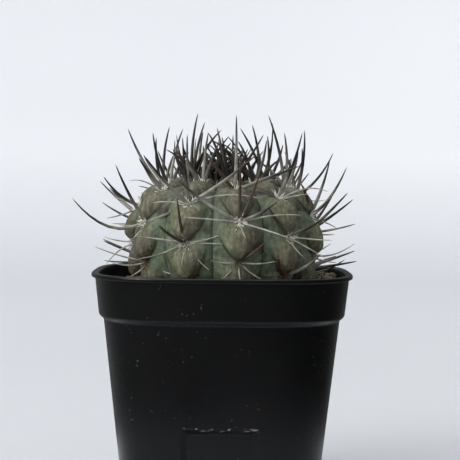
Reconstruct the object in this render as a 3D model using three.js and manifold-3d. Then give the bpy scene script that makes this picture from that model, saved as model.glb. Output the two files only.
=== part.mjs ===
// Potted Eriosyce paucicostata: a ribbed globe cactus in soil, in a soft-square black nursery pot.
// Millimetres, +Z up. The origin is the middle of the pot's underside, and its front looks along -Y.
import * as THREE from 'three';
import { mergeVertices } from 'three/addons/utils/BufferGeometryUtils.js';
import Module from 'manifold-3d';

// Pot
const POT_HEIGHT = 80;
const POT_SIDES = 48;
const SQUARENESS = 3.4; // exponent of the soft-square outline, where 2 is a circle
const LIP_HALF = 45; // half of the width over the lip, measured across the flats
const LIP_THICK = 1.4;
const BAND_TOP_HALF = 43.8;
const BAND_FOOT_HALF = 42.4;
const BAND_HEIGHT = 12.8;
const WALL_TOP_HALF = 40.8;
const WALL_FOOT_HALF = 33.6;
const WALL = 1.3;
const STEP_HEIGHT = 1.4; // the slope that joins the band to the wall
const FLOOR = 1.8;
const FOOT_ROUND = 1;

// Drain panel, sunk in the foot of each of the four walls, and the drain holes
const PANEL_TOP = 30;
const PANEL_WIDTH = 26;
const PANEL_DEPTH = 2;
const PANEL_BEVEL = 2;
const SLOT_WIDTH = 5;
const SLOT_HEIGHT = 9;
const SLOT_REACH = 8;
const HOLE_RADIUS = 3;
const HOLE_FROM_MIDDLE = 16;

// Soil
const GAP = 0.3; // clearance between pieces
const SOIL_DEPTH = 5.5; // from the rim, at the pot's wall
const SOIL_MOUND = 2.8; // how much higher it lies against the stem, on the right
const SOIL_MOUND_TURN = 0.4; // where it is highest, in radians from the right towards the back
const SOIL_MOUND_REACH = 4;
const SOIL_LEFT_SHARE = 0.2; // of the mound, where it is lowest
const SOIL_LUMP = 0.5;
const SOIL_RINGS = [45, 39.5, 37, 34.5, 32, 29]; // half widths at which the surface has a ring of points

// Stem, with heights from the pot's rim
const STEM_RADIUS = 30.6; // to the floor of the furrows
const WIDEST_HEIGHT = 13;
const STEM_RISE = 18.4; // from the widest level to the shoulder's top
const STEM_DROP = 30; // from the widest level to the rounded underside
const RISE_ROUNDNESS = 2.6; // exponents of the two halves of the profile, where 2 is an ellipse
const DROP_ROUNDNESS = 2.2;
const CROWN_DIP = 6;
const CROWN_DIP_WIDTH = 11;
const ROOT_RADIUS = 9;
const ROOT_TIP_RADIUS = 2;
const ROOT_TIP_HEIGHT = -52;
const ROUND_SIDES = 16; // of the root and the drain holes

// Ribs, each a row of chin-like tubercles with an areole at the head of each
const RIBS = 11;
const FRONT_RIB_ANGLE = 9.9; // degrees to the right of the front, seen from above
const TUBERCLE_HEIGHT = 4.4; // unit of the rises below
const TUBERCLE_PERIOD = 13.2; // along the rib, on the flank
const CROWN_PERIOD = 3.4;
const CROWN_REACH = 11; // arc from the crown over which the tubercles grow to full size
const FRONT_AREOLE_HEIGHT = 17.7; // of the front rib's middle areole
const RIB_STAGGER = 5 / 11; // of a period, from each rib to the next on its left
const RIGHT_RIB_LIFT = 0.1; // how much higher the rib right of the front one has its areoles, in periods
const RIBS_END_HEIGHT = -4.5; // where the ribs have run out in the stem's plain foot
const RIBS_FADE = 5;
const CROWN_PLAIN = 3.5; // radius of the crown's middle, where the ribs run out
const NOTCH_ABOVE = 0.06; // how far a tubercle's pointed end lies above the areole, in periods
const CHIN_SLOPE = 0.3; // periods by which it ends further up, for each rib width aside from the crest
const RIB_RISE = 0.34; // of the rib's own low round
const RIB_HALF = 0.56; // half width of that round, in rib widths
const RIB_ROUNDNESS = 2.6; // its exponent, where 2 is a parabola
const CHIN_RISE = 0.86; // of each tubercle's chin
const SWELL_SKEW = 1.5; // above 1 the chin is highest below the tubercle's middle
const SWELL_FULLNESS = 0.75; // below 1 it is fuller down the rib
const CHIN_HALF = 0.43;
const CHIN_POINT = 0.78; // share of its width that the chin loses on the way down to its point
const CHIN_DROOP = 1.3; // how far the chin hangs down
const DROOP_FROM = 0.3; // where on the tubercle it begins to hang, in periods
const DROOP_SPAN = 0.4; // and over how many it comes to hang fully
const FURROW_DEPTH = 0.8;
const FURROW_WIDTH = 0.06; // difference in rise over which the furrow fades
const FURROW_FROM = 0.3; // place aside from the crest at which a furrow may begin
const LEFT_FLAT = 1.3; // how much flatter the stem is on its left
const LEFT_TURN = -95; // degrees from the front
const LEFT_SPREAD = 30;
const LOWEST_AREOLE = -2.5;
const YOUNGEST_ARC = 5;

// Spines
const STOUT_RADIUS = 0.66; // at the base of a central spine
const SLIM_RADIUS = 0.36; // at the base of a radial spine
const STOUT_LEAN = 64; // degrees from the areole's axis, under which a spine is a stout central one
const BENT_SPINE = 16; // length from which a spine has a bend at its middle
const SPINE_ROOT = 1.6; // how deep a spine's root is sunk
const AREOLE_RADIUS = 1.3; // of the ring in which an areole's spines stand
const SPINE_CLEARANCE = 0.9; // from the pot and the soil
const YOUNG_ARC = 22; // arc from the crown within which spines are shorter and more upright
const FEW_ARC = 16; // arc from the crown within which an areole has only its first few spines
const FEW_SPINES = 3;
const YOUNG_LEAN = 0.45; // shares of the full lean and length at the crown
const YOUNG_LENGTH = 0.75;
const FRONT_CURL = 0.05; // share of its length by which a spine curls towards the crown
const OTHER_CURL = 0.07;
const BEND_TAPER = 0.8; // share of its thickness that a spine keeps at its bend
const LIFT_STEP = 0.5; // by which a spine's tip is raised until the spine is clear
const LIFT_TRIES = 40;
const SEED = 20;

// Spines of the front areoles, as the photograph shows them. A key is RIB.NUMBER, with ribs counted
// leftwards from the front one and areoles upwards from the soil. Each spine's tip lies so far
// right, up and forward of its areole, and the last number is the rise of its bow.
const FRONT_SPINES = {
  '0.0': [
    [-5.5, -5, 3, 0], [0.5, -5.5, 4, 0], [7.5, -5, 3, 0], [12.5, 1, 2, 0], [-9.5, 1, 2, 0],
    [8.5, 7.5, 7, 0],
  ],
  '0.1': [
    [-19, 1.5, 3, 1], [-20.5, 14, 9, 0], [0, 19.5, 5, 0], [6.5, 16.5, 6, 0], [16.5, -5, 3, 1],
    [20.5, 2.5, 2, 2], [12.5, 7, 2, 0], [2, -5, 4, 0],
  ],
  '0.2': [
    [0, 25, 2, 0], [-9, 10.5, 5, 0], [21.4, 8, 3, 0.8],
  ],
  '0.3': [
    [11.7, 17.4, 0, -0.5], [-4.5, 19.8, -6, 0], [-7.4, 17.6, 2, 1.5], [2, 13, 4, 0],
  ],
  '1.0': [
    [-9, 0.5, 2, 0], [6, 0.5, 3, 0],
  ],
  '1.1': [
    [-16.5, 2.5, 3, 1], [-15.5, -5, 3, 0], [-1, -7.5, 4, 0], [8.5, -8.5, 4, 0], [15, 0, 3, 1],
    [18, 6, 3, 0], [-8.5, 6.5, 9, 0], [-2.5, 16, 8, -1.5],
  ],
  '1.2': [
    [-14, 15, 8, 0], [23, 17, 9, 0], [-2.2, 22, 4, 0], [-0.7, 23, 2, 0], [25, 1.5, 3, 3],
    [-12, 0, 3, 1],
  ],
  '1.3': [
    [1.8, 17.4, 0, 0], [5.5, 14, 3, 0], [-9, 11, 3, 1],
  ],
  '1.4': [
    [-17, 13.4, 3, 1], [3, 16, 0, 0], [9, 10, 3, 1],
  ],
  '2.0': [
    [-18.2, 5.6, 0, 0.3], [11.5, -3.5, 8, 0], [-5.5, -4.5, 1, 0], [-12.3, 0.3, 1, -0.5],
  ],
  '2.1': [
    [-10, 20, 3, 0], [15.5, 6.5, 11, 1], [7, -5, 6, 0], [-9, -0.5, 0, 0], [-5, -6, 1, 0],
    [-24.5, 8.7, 4, -4.2],
  ],
  '2.2': [
    [-12.4, 21, 1, 0], [-8.5, 11, 3, 0.5], [4.5, -4, 7, 0], [-12, 3, 0, 2],
  ],
  '2.3': [
    [4, 21.6, 0, 0], [1.4, 25, -8, 0], [-7, 12, 3, 0.5],
  ],
  '3.0': [
    [-10, -8.2, 1, 2.5], [-11, 2, 0, 0],
  ],
  '3.1': [
    [-9.7, 2.8, 1, 1], [-12.8, 10.3, 2, -1], [-12, -4.5, 0, 0],
  ],
  '3.2': [
    [4.7, 20.5, -2, 0], [-5.9, 19, 0, 0], [-9, 11, 2, 0], [7, 12, 3, 0.5],
  ],
  '8.3': [
    [0.3, 17, 0, 0], [-9.5, 19.6, 0, 0], [6, 14, -2, 0], [9, 9, 0, 0],
  ],
  '9.0': [
    [9, -2, 0, 0], [7, 5, 1, 0], [15.2, 4.9, 0, -1.2],
  ],
  '9.1': [
    [12, 17.7, 1, -1.5], [8.8, -3.8, 1, 1], [-4.3, 11.6, 6, 2], [6, 6.5, 3, 0], [6, 19.7, 1, 0],
  ],
  '9.2': [
    [-6.6, 25.4, 0, 0], [-0.7, 19.5, -5, 0], [4, 13, 1, 0], [-10, 9, 3, 1],
  ],
  '10.0': [
    [13, 7.8, 0, -0.8], [-8, 1, 6, 0], [-2, 6.5, 6, 0],
  ],
  '10.1': [
    [-7, 10, 8, 0.5], [12.5, 7, 4, 0], [15, -1, 2, 0.5], [5, -6.6, 4, 0], [13, -7.5, 1, 1],
  ],
  '10.2': [
    [7.6, 22.2, 3, 0], [4, 13, 4, 0], [17, 2, 1, 3], [10.5, 1.5, 3, 0.6], [-15.5, 1, 6, 2],
  ],
  '10.3': [
    [-5.9, 14.4, 2, 1], [4, 15, 1, 0], [8, 8, 4, 1],
  ],
};

// Spines of every other areole: turn round the areole's axis from straight up, lean from that axis,
// length, and the rise of the bow. Turns and leans are in degrees.
const OTHER_SPINES = [
  [0, 34, 23, 1],
  [-34, 52, 20, 1],
  [36, 50, 21, 1],
  [-84, 78, 16, 1],
  [86, 78, 15, 1],
];
const TURN_SPREAD = 24;
const LEAN_SPREAD = 14;
const LENGTH_SPREAD = 0.3;

const SKIN_COLUMNS = RIBS * 8;
const RIBBED_ROWS = 25;
const FOOT_ROWS = 4;
const HOLE_SIDES = 44;
const HOLE_ROWS = 5; // how many of the ribbed rows the soil's hole takes in
const ARC_STEPS = 600;

const MOST_RISE = TUBERCLE_HEIGHT * (RIB_RISE + CHIN_RISE);
const DEGREE = Math.PI / 180;
const RIB_ANGLE = (2 * Math.PI) / RIBS;

const wasm = await Module();
wasm.setup();

// A closed geometry as a solid that can be cut and joined.
function solid(geometry) {
  const bare = geometry.clone();
  bare.deleteAttribute('normal');
  bare.deleteAttribute('uv');
  const merged = mergeVertices(bare, 1e-4);
  const corners = [];
  for (let i = 0; i < merged.index.count; i += 3) {
    const [a, b, c] = [0, 1, 2].map((k) => merged.index.getX(i + k));
    if (a !== b && b !== c && c !== a) corners.push(a, b, c);
  }
  return new wasm.Manifold(new wasm.Mesh({
    numProp: 3,
    vertProperties: Float32Array.from(merged.attributes.position.array),
    triVerts: Uint32Array.from(corners),
  }));
}

// A solid as a named mesh with its finish.
function piece(name, body, color, roughness) {
  const { vertProperties, triVerts } = body.getMesh();
  const geometry = new THREE.BufferGeometry();
  geometry.setAttribute('position', new THREE.BufferAttribute(vertProperties, 3));
  geometry.setIndex(new THREE.BufferAttribute(triVerts, 1));
  geometry.computeVertexNormals();
  const material = new THREE.MeshStandardMaterial({ color, roughness, metalness: 0 });
  const mesh = new THREE.Mesh(geometry, material);
  mesh.name = name;
  return mesh;
}

// The soft-square outline, as a factor on the radius of a circle.
function squareFactor(angle) {
  const across = Math.abs(Math.cos(angle)) ** SQUARENESS;
  const along = Math.abs(Math.sin(angle)) ** SQUARENESS;
  return (across + along) ** (-1 / SQUARENESS);
}

// A profile of [radius, height] points turned round the Z axis.
function turned(profile, sides) {
  const points = profile.map(([radius, height]) => new THREE.Vector2(radius, height));
  return new THREE.LatheGeometry(points, sides).rotateX(Math.PI / 2);
}

// The same, with its circles squared off.
function squared(profile) {
  const geometry = turned(profile, POT_SIDES);
  const at = geometry.attributes.position;
  for (let i = 0; i < at.count; i += 1) {
    const factor = squareFactor(Math.atan2(at.getY(i), at.getX(i)));
    at.setXY(i, at.getX(i) * factor, at.getY(i) * factor);
  }
  return geometry;
}

const BAND_FOOT = POT_HEIGHT - LIP_THICK - BAND_HEIGHT;
const WALL_TOP = BAND_FOOT - STEP_HEIGHT;
const WALL_SLOPE = (WALL_TOP_HALF - WALL_FOOT_HALF) / WALL_TOP;

// Half of the pot's outer width at a height on its plain wall.
function wallHalf(height) {
  return WALL_FOOT_HALF + WALL_SLOPE * height;
}

// A tapered block across the foot of the front wall: the drain panel, or that panel grown by a margin.
function panelCutter(margin) {
  const below = 6;
  const outside = 3;
  const height = PANEL_TOP + margin + below;
  const depth = PANEL_DEPTH + margin + outside;
  const block = new THREE.BoxGeometry(PANEL_WIDTH + 2 * margin, depth, height);
  const at = block.attributes.position;
  for (let i = 0; i < at.count; i += 1) {
    if (at.getY(i) < 0) continue;
    at.setX(i, at.getX(i) - Math.sign(at.getX(i)) * PANEL_BEVEL);
    if (at.getZ(i) > 0) at.setZ(i, at.getZ(i) - PANEL_BEVEL);
  }
  block.translate(0, depth / 2 - outside, height / 2 - below);
  block.rotateX(Math.atan(WALL_SLOPE));
  block.translate(0, -WALL_FOOT_HALF, 0);
  return solid(block);
}

// A cutter set at each of the four walls.
function onFourWalls(cutter) {
  const quarter = 90;
  return wasm.Manifold.union([0, 1, 2, 3].map((k) => cutter.rotate([0, 0, k * quarter])));
}

// The space inside the pot, drawn in by a margin from its walls and floor.
function potInside(margin, top) {
  const inset = WALL + margin;
  const space = solid(squared([
    [0, FLOOR + margin],
    [wallHalf(FLOOR) - inset, FLOOR + margin],
    [WALL_TOP_HALF - inset, WALL_TOP],
    [BAND_FOOT_HALF - inset, BAND_FOOT + STEP_HEIGHT / 2],
    [BAND_TOP_HALF - inset, top],
    [0, top],
  ]));
  return space.subtract(onFourWalls(panelCutter(inset)));
}

function pot() {
  const bead = LIP_THICK / 2;
  const outside = solid(squared([
    [0, 0],
    [WALL_FOOT_HALF - FOOT_ROUND, 0],
    [wallHalf(FOOT_ROUND), FOOT_ROUND],
    [WALL_TOP_HALF, WALL_TOP],
    [BAND_FOOT_HALF - STEP_HEIGHT / 2, BAND_FOOT - STEP_HEIGHT / 2],
    [BAND_FOOT_HALF, BAND_FOOT],
    [BAND_TOP_HALF, POT_HEIGHT - LIP_THICK],
    [LIP_HALF - bead / 2, POT_HEIGHT - LIP_THICK],
    [LIP_HALF, POT_HEIGHT - bead],
    [LIP_HALF - bead / 2, POT_HEIGHT],
    [0, POT_HEIGHT],
  ]));
  const above = POT_HEIGHT + 1;
  const slot = solid(new THREE.BoxGeometry(SLOT_WIDTH, 2 * SLOT_REACH, 2 * SLOT_HEIGHT));
  const slots = onFourWalls(slot.translate([0, -WALL_FOOT_HALF, 0]));
  const rod = [[0, -1], [HOLE_RADIUS, -1], [HOLE_RADIUS, FLOOR + 1], [0, FLOOR + 1]];
  const hole = solid(turned(rod, ROUND_SIDES)).translate([0, HOLE_FROM_MIDDLE, 0]);
  const holes = onFourWalls(hole.rotate([0, 0, 45]));
  return outside
    .subtract(onFourWalls(panelCutter(0)))
    .subtract(potInside(0, above))
    .subtract(slots)
    .subtract(holes);
}

// The soil's surface: a low mound against the stem, higher on the right, with small lumps.
function soilHeight(x, y) {
  const away = Math.max(Math.hypot(x, y) - STEM_RADIUS, 0);
  const right = 0.5 + 0.5 * Math.cos(Math.atan2(y, x) - SOIL_MOUND_TURN);
  const share = SOIL_LEFT_SHARE + (1 - SOIL_LEFT_SHARE) * right;
  const mound = SOIL_MOUND * share * Math.exp(-away / SOIL_MOUND_REACH);
  const lumps = Math.sin(0.9 * x + 0.4 * y) * Math.sin(0.8 * y - 0.3 * x);
  return POT_HEIGHT - SOIL_DEPTH + mound + SOIL_LUMP * lumps;
}

// The stem's bare profile at a turn from -90 (underside) to 90 degrees (crown): radius and height.
function profilePoint(turn) {
  const high = turn > 0;
  const roundness = high ? RISE_ROUNDNESS : DROP_ROUNDNESS;
  const reach = high ? STEM_RISE : -STEM_DROP;
  const radius = STEM_RADIUS * Math.abs(Math.cos(turn)) ** (2 / roundness);
  const rise = reach * Math.abs(Math.sin(turn)) ** (2 / roundness);
  const dip = high ? CROWN_DIP * Math.exp(-((radius / CROWN_DIP_WIDTH) ** 2)) : 0;
  return [radius, POT_HEIGHT + WIDEST_HEIGHT + rise - dip];
}

// The profile from the crown to the underside, as steps of [arc, radius, height].
const PROFILE = [];
for (let i = 0; i <= ARC_STEPS; i += 1) {
  const [radius, height] = profilePoint(Math.PI / 2 - (Math.PI * i) / ARC_STEPS);
  const last = PROFILE[i - 1];
  const arc = last ? last[0] + Math.hypot(radius - last[1], height - last[2]) : 0;
  PROFILE.push([arc, radius, height]);
}
const WHOLE_ARC = PROFILE[ARC_STEPS][0];

// Radius, height and outward normal of the bare profile at an arc from the crown.
function profileAt(arc) {
  const next = Math.max(PROFILE.findIndex((step) => step[0] >= arc), 1);
  const [from, to] = [PROFILE[next - 1], PROFILE[next]];
  const step = to[0] - from[0];
  const part = (arc - from[0]) / step;
  return {
    radius: from[1] + (to[1] - from[1]) * part,
    height: from[2] + (to[2] - from[2]) * part,
    outward: (from[2] - to[2]) / step,
    upward: (to[1] - from[1]) / step,
  };
}

// The arc at which the flank comes down to a height above the rim.
function arcAtHeight(aboveRim) {
  const steps = PROFILE.filter((step) => step[2] >= POT_HEIGHT + aboveRim);
  return steps[steps.length - 1][0];
}

// How many tubercles a rib holds from the crown to an arc, and the arc for such a count.
// Their period grows from CROWN_PERIOD to TUBERCLE_PERIOD as 1 - exp(-arc / CROWN_REACH).
const PERIOD_GAIN = TUBERCLE_PERIOD - CROWN_PERIOD;

function tubercleCount(arc) {
  const grown = TUBERCLE_PERIOD * Math.exp(arc / CROWN_REACH) - PERIOD_GAIN;
  return (CROWN_REACH / TUBERCLE_PERIOD) * Math.log(grown / CROWN_PERIOD);
}

function arcOfCount(count) {
  const grown = CROWN_PERIOD * Math.exp((count * TUBERCLE_PERIOD) / CROWN_REACH) + PERIOD_GAIN;
  return CROWN_REACH * Math.log(grown / TUBERCLE_PERIOD);
}

const FRONT_COUNT = tubercleCount(arcAtHeight(FRONT_AREOLE_HEIGHT));

// The fraction of a count at which a rib has its areoles. Ribs are numbered leftwards from the front.
function ribPhase(rib) {
  const number = ((rib % RIBS) + RIBS) % RIBS;
  const lift = number === RIBS - 1 ? RIGHT_RIB_LIFT : 0;
  const count = FRONT_COUNT - RIB_STAGGER * number - lift;
  return count - Math.floor(count);
}

function smoothStep(value) {
  const part = Math.min(Math.max(value, 0), 1);
  return part * part * (3 - 2 * part);
}

// One rib's tubercles at an arc and at a place aside from its crest, as a rise and a droop. The rib is
// a low round. Each tubercle on it swells out, is highest near its lower end, and narrows there to a
// chin above the next areole, which hangs down a little.
function tubercle(arc, aside, rib) {
  const count = tubercleCount(arc) - ribPhase(rib) + NOTCH_ABOVE + CHIN_SLOPE * aside;
  const down = count - Math.floor(count);
  const swell = Math.sin(Math.PI * down ** SWELL_SKEW) ** SWELL_FULLNESS;
  const half = CHIN_HALF * (1 - CHIN_POINT * down ** 3);
  const chin = swell * Math.max(1 - (aside / half) ** 2, 0);
  const round = RIB_RISE * (1 - (aside / RIB_HALF) ** RIB_ROUNDNESS);
  const droop = chin * smoothStep((down - DROOP_FROM) / DROOP_SPAN);
  return { rise: round + CHIN_RISE * chin, droop, aside };
}

// How far the skin stands out of the bare profile, and how far it hangs down. Where neighbouring
// ribs meet, the higher one shows, which makes the furrow between them a zigzag.
function relief(arc, angle) {
  const { radius, height } = profileAt(arc);
  const young = 1 - (PERIOD_GAIN / TUBERCLE_PERIOD) * Math.exp(-arc / CROWN_REACH);
  const fade = smoothStep((height - POT_HEIGHT - RIBS_END_HEIGHT) / RIBS_FADE);
  const middle = 1 - Math.exp(-((radius / CROWN_PLAIN) ** 2));
  const share = young * fade * middle;
  const place = (angle - FRONT_RIB_ANGLE * DEGREE) / RIB_ANGLE;
  const nearest = Math.round(place);
  const near = [nearest - 1, nearest, nearest + 1].map((k) => (
    tubercle(arc, Math.abs(place - k), -k)
  ));
  const [highest, second] = near.sort((a, b) => b.rise - a.rise);
  const apart = Math.exp(-(highest.rise - second.rise) / FURROW_WIDTH);
  const furrow = FURROW_DEPTH * apart * smoothStep((highest.aside - FURROW_FROM) / FURROW_WIDTH);
  const turn = angle / DEGREE - LEFT_TURN;
  const away = turn - 360 * Math.round(turn / 360);
  const flat = LEFT_FLAT * Math.exp(-((away / LEFT_SPREAD) ** 2));
  return {
    rise: share * (TUBERCLE_HEIGHT * highest.rise - furrow - flat),
    droop: share * CHIN_DROOP * highest.droop,
  };
}

// A point of the skin, and the outward normal of the bare profile there.
function skinPoint(arc, angle) {
  const { radius, height, outward, upward } = profileAt(arc);
  const { rise, droop } = relief(arc, angle);
  const reach = radius + rise * outward;
  const [right, front] = [Math.sin(angle), -Math.cos(angle)];
  return {
    point: new THREE.Vector3(reach * right, reach * front, height + rise * upward - droop),
    normal: new THREE.Vector3(outward * right, outward * front, upward),
  };
}

// Rings from the crown down: close together where there are ribs, wider apart on the plain foot.
const FLANK_ARC = arcAtHeight(RIBS_END_HEIGHT);
const SKIN_ARCS = [];
for (let j = 1; j <= RIBBED_ROWS; j += 1) SKIN_ARCS.push((FLANK_ARC * j) / RIBBED_ROWS);
for (let j = 1; j < FOOT_ROWS; j += 1) {
  SKIN_ARCS.push(FLANK_ARC + ((WHOLE_ARC - FLANK_ARC) * j) / FOOT_ROWS);
}

// The ribbed skin, as rings of points closed by a pole at each end.
function skin() {
  const points = SKIN_ARCS.flatMap((arc) => {
    const ring = [];
    for (let i = 0; i < SKIN_COLUMNS; i += 1) {
      const angle = FRONT_RIB_ANGLE * DEGREE + (2 * Math.PI * i) / SKIN_COLUMNS;
      ring.push(skinPoint(arc, angle).point);
    }
    return ring;
  });
  const crown = points.push(new THREE.Vector3(0, 0, PROFILE[0][2])) - 1;
  const under = points.push(new THREE.Vector3(0, 0, PROFILE[ARC_STEPS][2])) - 1;
  const last = (SKIN_ARCS.length - 1) * SKIN_COLUMNS;
  const corners = [];
  for (let i = 0; i < SKIN_COLUMNS; i += 1) {
    const beside = (i + 1) % SKIN_COLUMNS;
    corners.push(crown, i, beside);
    corners.push(under, last + beside, last + i);
    for (let row = 0; row < last; row += SKIN_COLUMNS) {
      const below = row + SKIN_COLUMNS;
      corners.push(row + i, below + i, below + beside);
      corners.push(row + i, below + beside, row + beside);
    }
  }
  const geometry = new THREE.BufferGeometry().setFromPoints(points);
  return solid(geometry.setIndex(corners));
}

// The taproot under the stem, grown by a margin.
function root(margin) {
  const tip = POT_HEIGHT + ROOT_TIP_HEIGHT;
  const top = PROFILE[ARC_STEPS][2] + ROOT_RADIUS / 2;
  return solid(turned([
    [0, tip - margin],
    [ROOT_TIP_RADIUS + margin, tip - margin],
    [ROOT_RADIUS + margin, top],
    [0, top],
  ], ROUND_SIDES));
}

// The plain hole that the soil has round the stem's foot and root. At each height it leaves room for
// the chins that may hang down to there.
function stemHole() {
  const rings = SKIN_ARCS.slice(RIBBED_ROWS - HOLE_ROWS).map((arc) => {
    const { radius, height, outward, upward } = profileAt(arc);
    const above = height + CHIN_DROOP - POT_HEIGHT;
    const away = GAP + MOST_RISE * smoothStep((above - RIBS_END_HEIGHT) / RIBS_FADE);
    return [radius + away * outward, height + away * upward];
  });
  const under = [0, PROFILE[ARC_STEPS][2] - GAP];
  const profile = [under, ...rings.reverse()];
  profile.push([0, profile[profile.length - 1][1]]);
  return solid(turned(profile, HOLE_SIDES)).add(root(GAP));
}

function soil() {
  const surface = SOIL_RINGS.map((half) => [half, POT_HEIGHT]);
  const geometry = squared([[0, -1], [SOIL_RINGS[0], -1], ...surface, [0, POT_HEIGHT]]);
  const at = geometry.attributes.position;
  for (let i = 0; i < at.count; i += 1) {
    if (at.getZ(i) > 0) at.setZ(i, soilHeight(at.getX(i), at.getY(i)));
  }
  return potInside(GAP, POT_HEIGHT).intersect(solid(geometry)).subtract(stemHole());
}

// Every areole, with its rib, its number counted up from the soil, its place and its frame.
function areoles() {
  const found = [];
  for (let rib = 0; rib < RIBS; rib += 1) {
    const angle = FRONT_RIB_ANGLE * DEGREE - rib * RIB_ANGLE;
    const most = tubercleCount(arcAtHeight(LOWEST_AREOLE)) - ribPhase(rib);
    for (let k = Math.floor(most); k >= 0; k -= 1) {
      const arc = arcOfCount(k + ribPhase(rib));
      if (arc < YOUNGEST_ARC) continue;
      const { point, normal } = skinPoint(arc, angle);
      const side = new THREE.Vector3(Math.cos(angle), Math.sin(angle), 0);
      const up = new THREE.Vector3().crossVectors(side, normal).negate();
      found.push({ rib, number: Math.floor(most) - k, arc, point, normal, side, up });
    }
  }
  return found;
}

// A repeatable random number from -0.5 to 0.5.
let drawn = SEED;
function spread() {
  drawn = (drawn * 16807) % 2147483647;
  return drawn / 2147483647 - 0.5;
}

// The path of a spine, from its foot to its tip, with its middle moved by the bow.
function spinePath(foot, tip, bow) {
  const middle = foot.clone().add(tip).multiplyScalar(0.5).addScaledVector(bow, 2);
  return new THREE.QuadraticBezierCurve3(foot, middle, tip);
}

// Whether a spine keeps clear of the pot's lip and walls and of the soil.
function isClear(path) {
  return path.getPoints(10).every(({ x, y, z }) => {
    if (z > POT_HEIGHT + SPINE_CLEARANCE) return true;
    const half = Math.hypot(x, y) / squareFactor(Math.atan2(y, x));
    const inside = half < BAND_FOOT_HALF - WALL - SPINE_CLEARANCE;
    return inside && z > soilHeight(x, y) + SPINE_CLEARANCE;
  });
}

// A three-sided needle along a path, with a bend at its middle if it is long, and a sunk root.
function needle(path, radius, inward) {
  const [foot, tip] = [path.getPoint(0), path.getPoint(1)];
  const along = path.getTangent(0);
  const side = new THREE.Vector3(0, 0, 1).cross(along).normalize();
  const over = along.clone().cross(side);
  const ring = (middle, size) => [0, 1, 2].map((k) => {
    const turn = (k * 2 * Math.PI) / 3;
    const across = middle.clone().addScaledVector(side, size * Math.cos(turn));
    return across.addScaledVector(over, size * Math.sin(turn));
  });
  const points = ring(foot.clone().addScaledVector(inward, SPINE_ROOT), radius);
  if (foot.distanceTo(tip) > BENT_SPINE) points.push(...ring(path.getPoint(0.5), radius * BEND_TAPER));
  points.push(tip);
  const corners = [2, 1, 0];
  const last = points.length - 1;
  for (let k = 0; k < 3; k += 1) {
    const next = (k + 1) % 3;
    if (last === 6) corners.push(k, next, next + 3, k, next + 3, k + 3);
    corners.push(last - 3 + k, last - 3 + next, last);
  }
  return solid(new THREE.BufferGeometry().setFromPoints(points).setIndex(corners));
}

// The tips of an areole's spines, each with the rise of its bow and the share that it curls.
function spineTips(areole) {
  const front = FRONT_SPINES[`${areole.rib}.${areole.number}`];
  if (front) {
    return front.map(([right, up, forward, bow]) => {
      const tip = areole.point.clone().add(new THREE.Vector3(right, -forward, up));
      return [tip, bow, FRONT_CURL];
    });
  }
  const young = smoothStep(areole.arc / YOUNG_ARC);
  const kinds = OTHER_SPINES.slice(0, areole.arc < FEW_ARC ? FEW_SPINES : OTHER_SPINES.length);
  return kinds.map(([turn, lean, length, bow]) => {
    const turned = (turn + TURN_SPREAD * spread()) * DEGREE;
    const leaned = (lean + LEAN_SPREAD * spread()) * DEGREE * (YOUNG_LEAN + (1 - YOUNG_LEAN) * young);
    const grown = YOUNG_LENGTH + (1 - YOUNG_LENGTH) * young;
    const reach = length * (1 + LENGTH_SPREAD * spread()) * grown;
    const tip = areole.point.clone()
      .addScaledVector(areole.normal, reach * Math.cos(leaned))
      .addScaledVector(areole.up, reach * Math.sin(leaned) * Math.cos(turned))
      .addScaledVector(areole.side, reach * Math.sin(leaned) * Math.sin(turned));
    return [tip, bow, OTHER_CURL];
  });
}

// A spine, raised until it is clear of the pot and the soil. It bows upwards, and its middle keeps
// back from the crown, so that it curls towards it.
function spine(areole, tip, rise, curl) {
  const length = tip.distanceTo(areole.point);
  const bow = new THREE.Vector3(0, 0, rise).addScaledVector(areole.up, -curl * length);
  const direction = tip.clone().sub(areole.point).normalize();
  const outward = direction.dot(areole.normal);
  const lean = Math.acos(outward) / DEGREE;
  const aside = direction.addScaledVector(areole.normal, -outward);
  const foot = areole.point.clone().addScaledVector(aside, AREOLE_RADIUS);
  let path = spinePath(foot, tip, bow);
  for (let tries = 0; tries < LIFT_TRIES && !isClear(path); tries += 1) {
    tip.z += LIFT_STEP;
    path = spinePath(foot, tip, bow);
  }
  const radius = lean < STOUT_LEAN ? STOUT_RADIUS : SLIM_RADIUS;
  return needle(path, radius, areole.normal.clone().negate());
}

// The whole plant, grown as one piece: stem, root and spines.
function cactus() {
  const spines = areoles().flatMap((areole) => (
    spineTips(areole).map((found) => spine(areole, ...found))
  ));
  return wasm.Manifold.union([skin(), root(0), ...spines]);
}

const part = new THREE.Group();
part.add(piece('pot', pot(), 0x1c1d1f, 0.5));
part.add(piece('soil', soil(), 0x6b5a48, 0.95));
part.add(piece('cactus', cactus(), 0x5d6b55, 0.7));

export default part;
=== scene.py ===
# %% [markdown]
# # A potted globe cactus
#
# The object is a young ribbed cactus in a black nursery pot. Plain solids of its pot, soil and
# plant come from a CAD model, which is loaded here as a fixed frame. Each piece made below stands
# for one of those solids, with a finer surface of the same form and size. Lengths are typed in
# millimetres, as a maker measures them, and become metres when a mesh is made.

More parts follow.
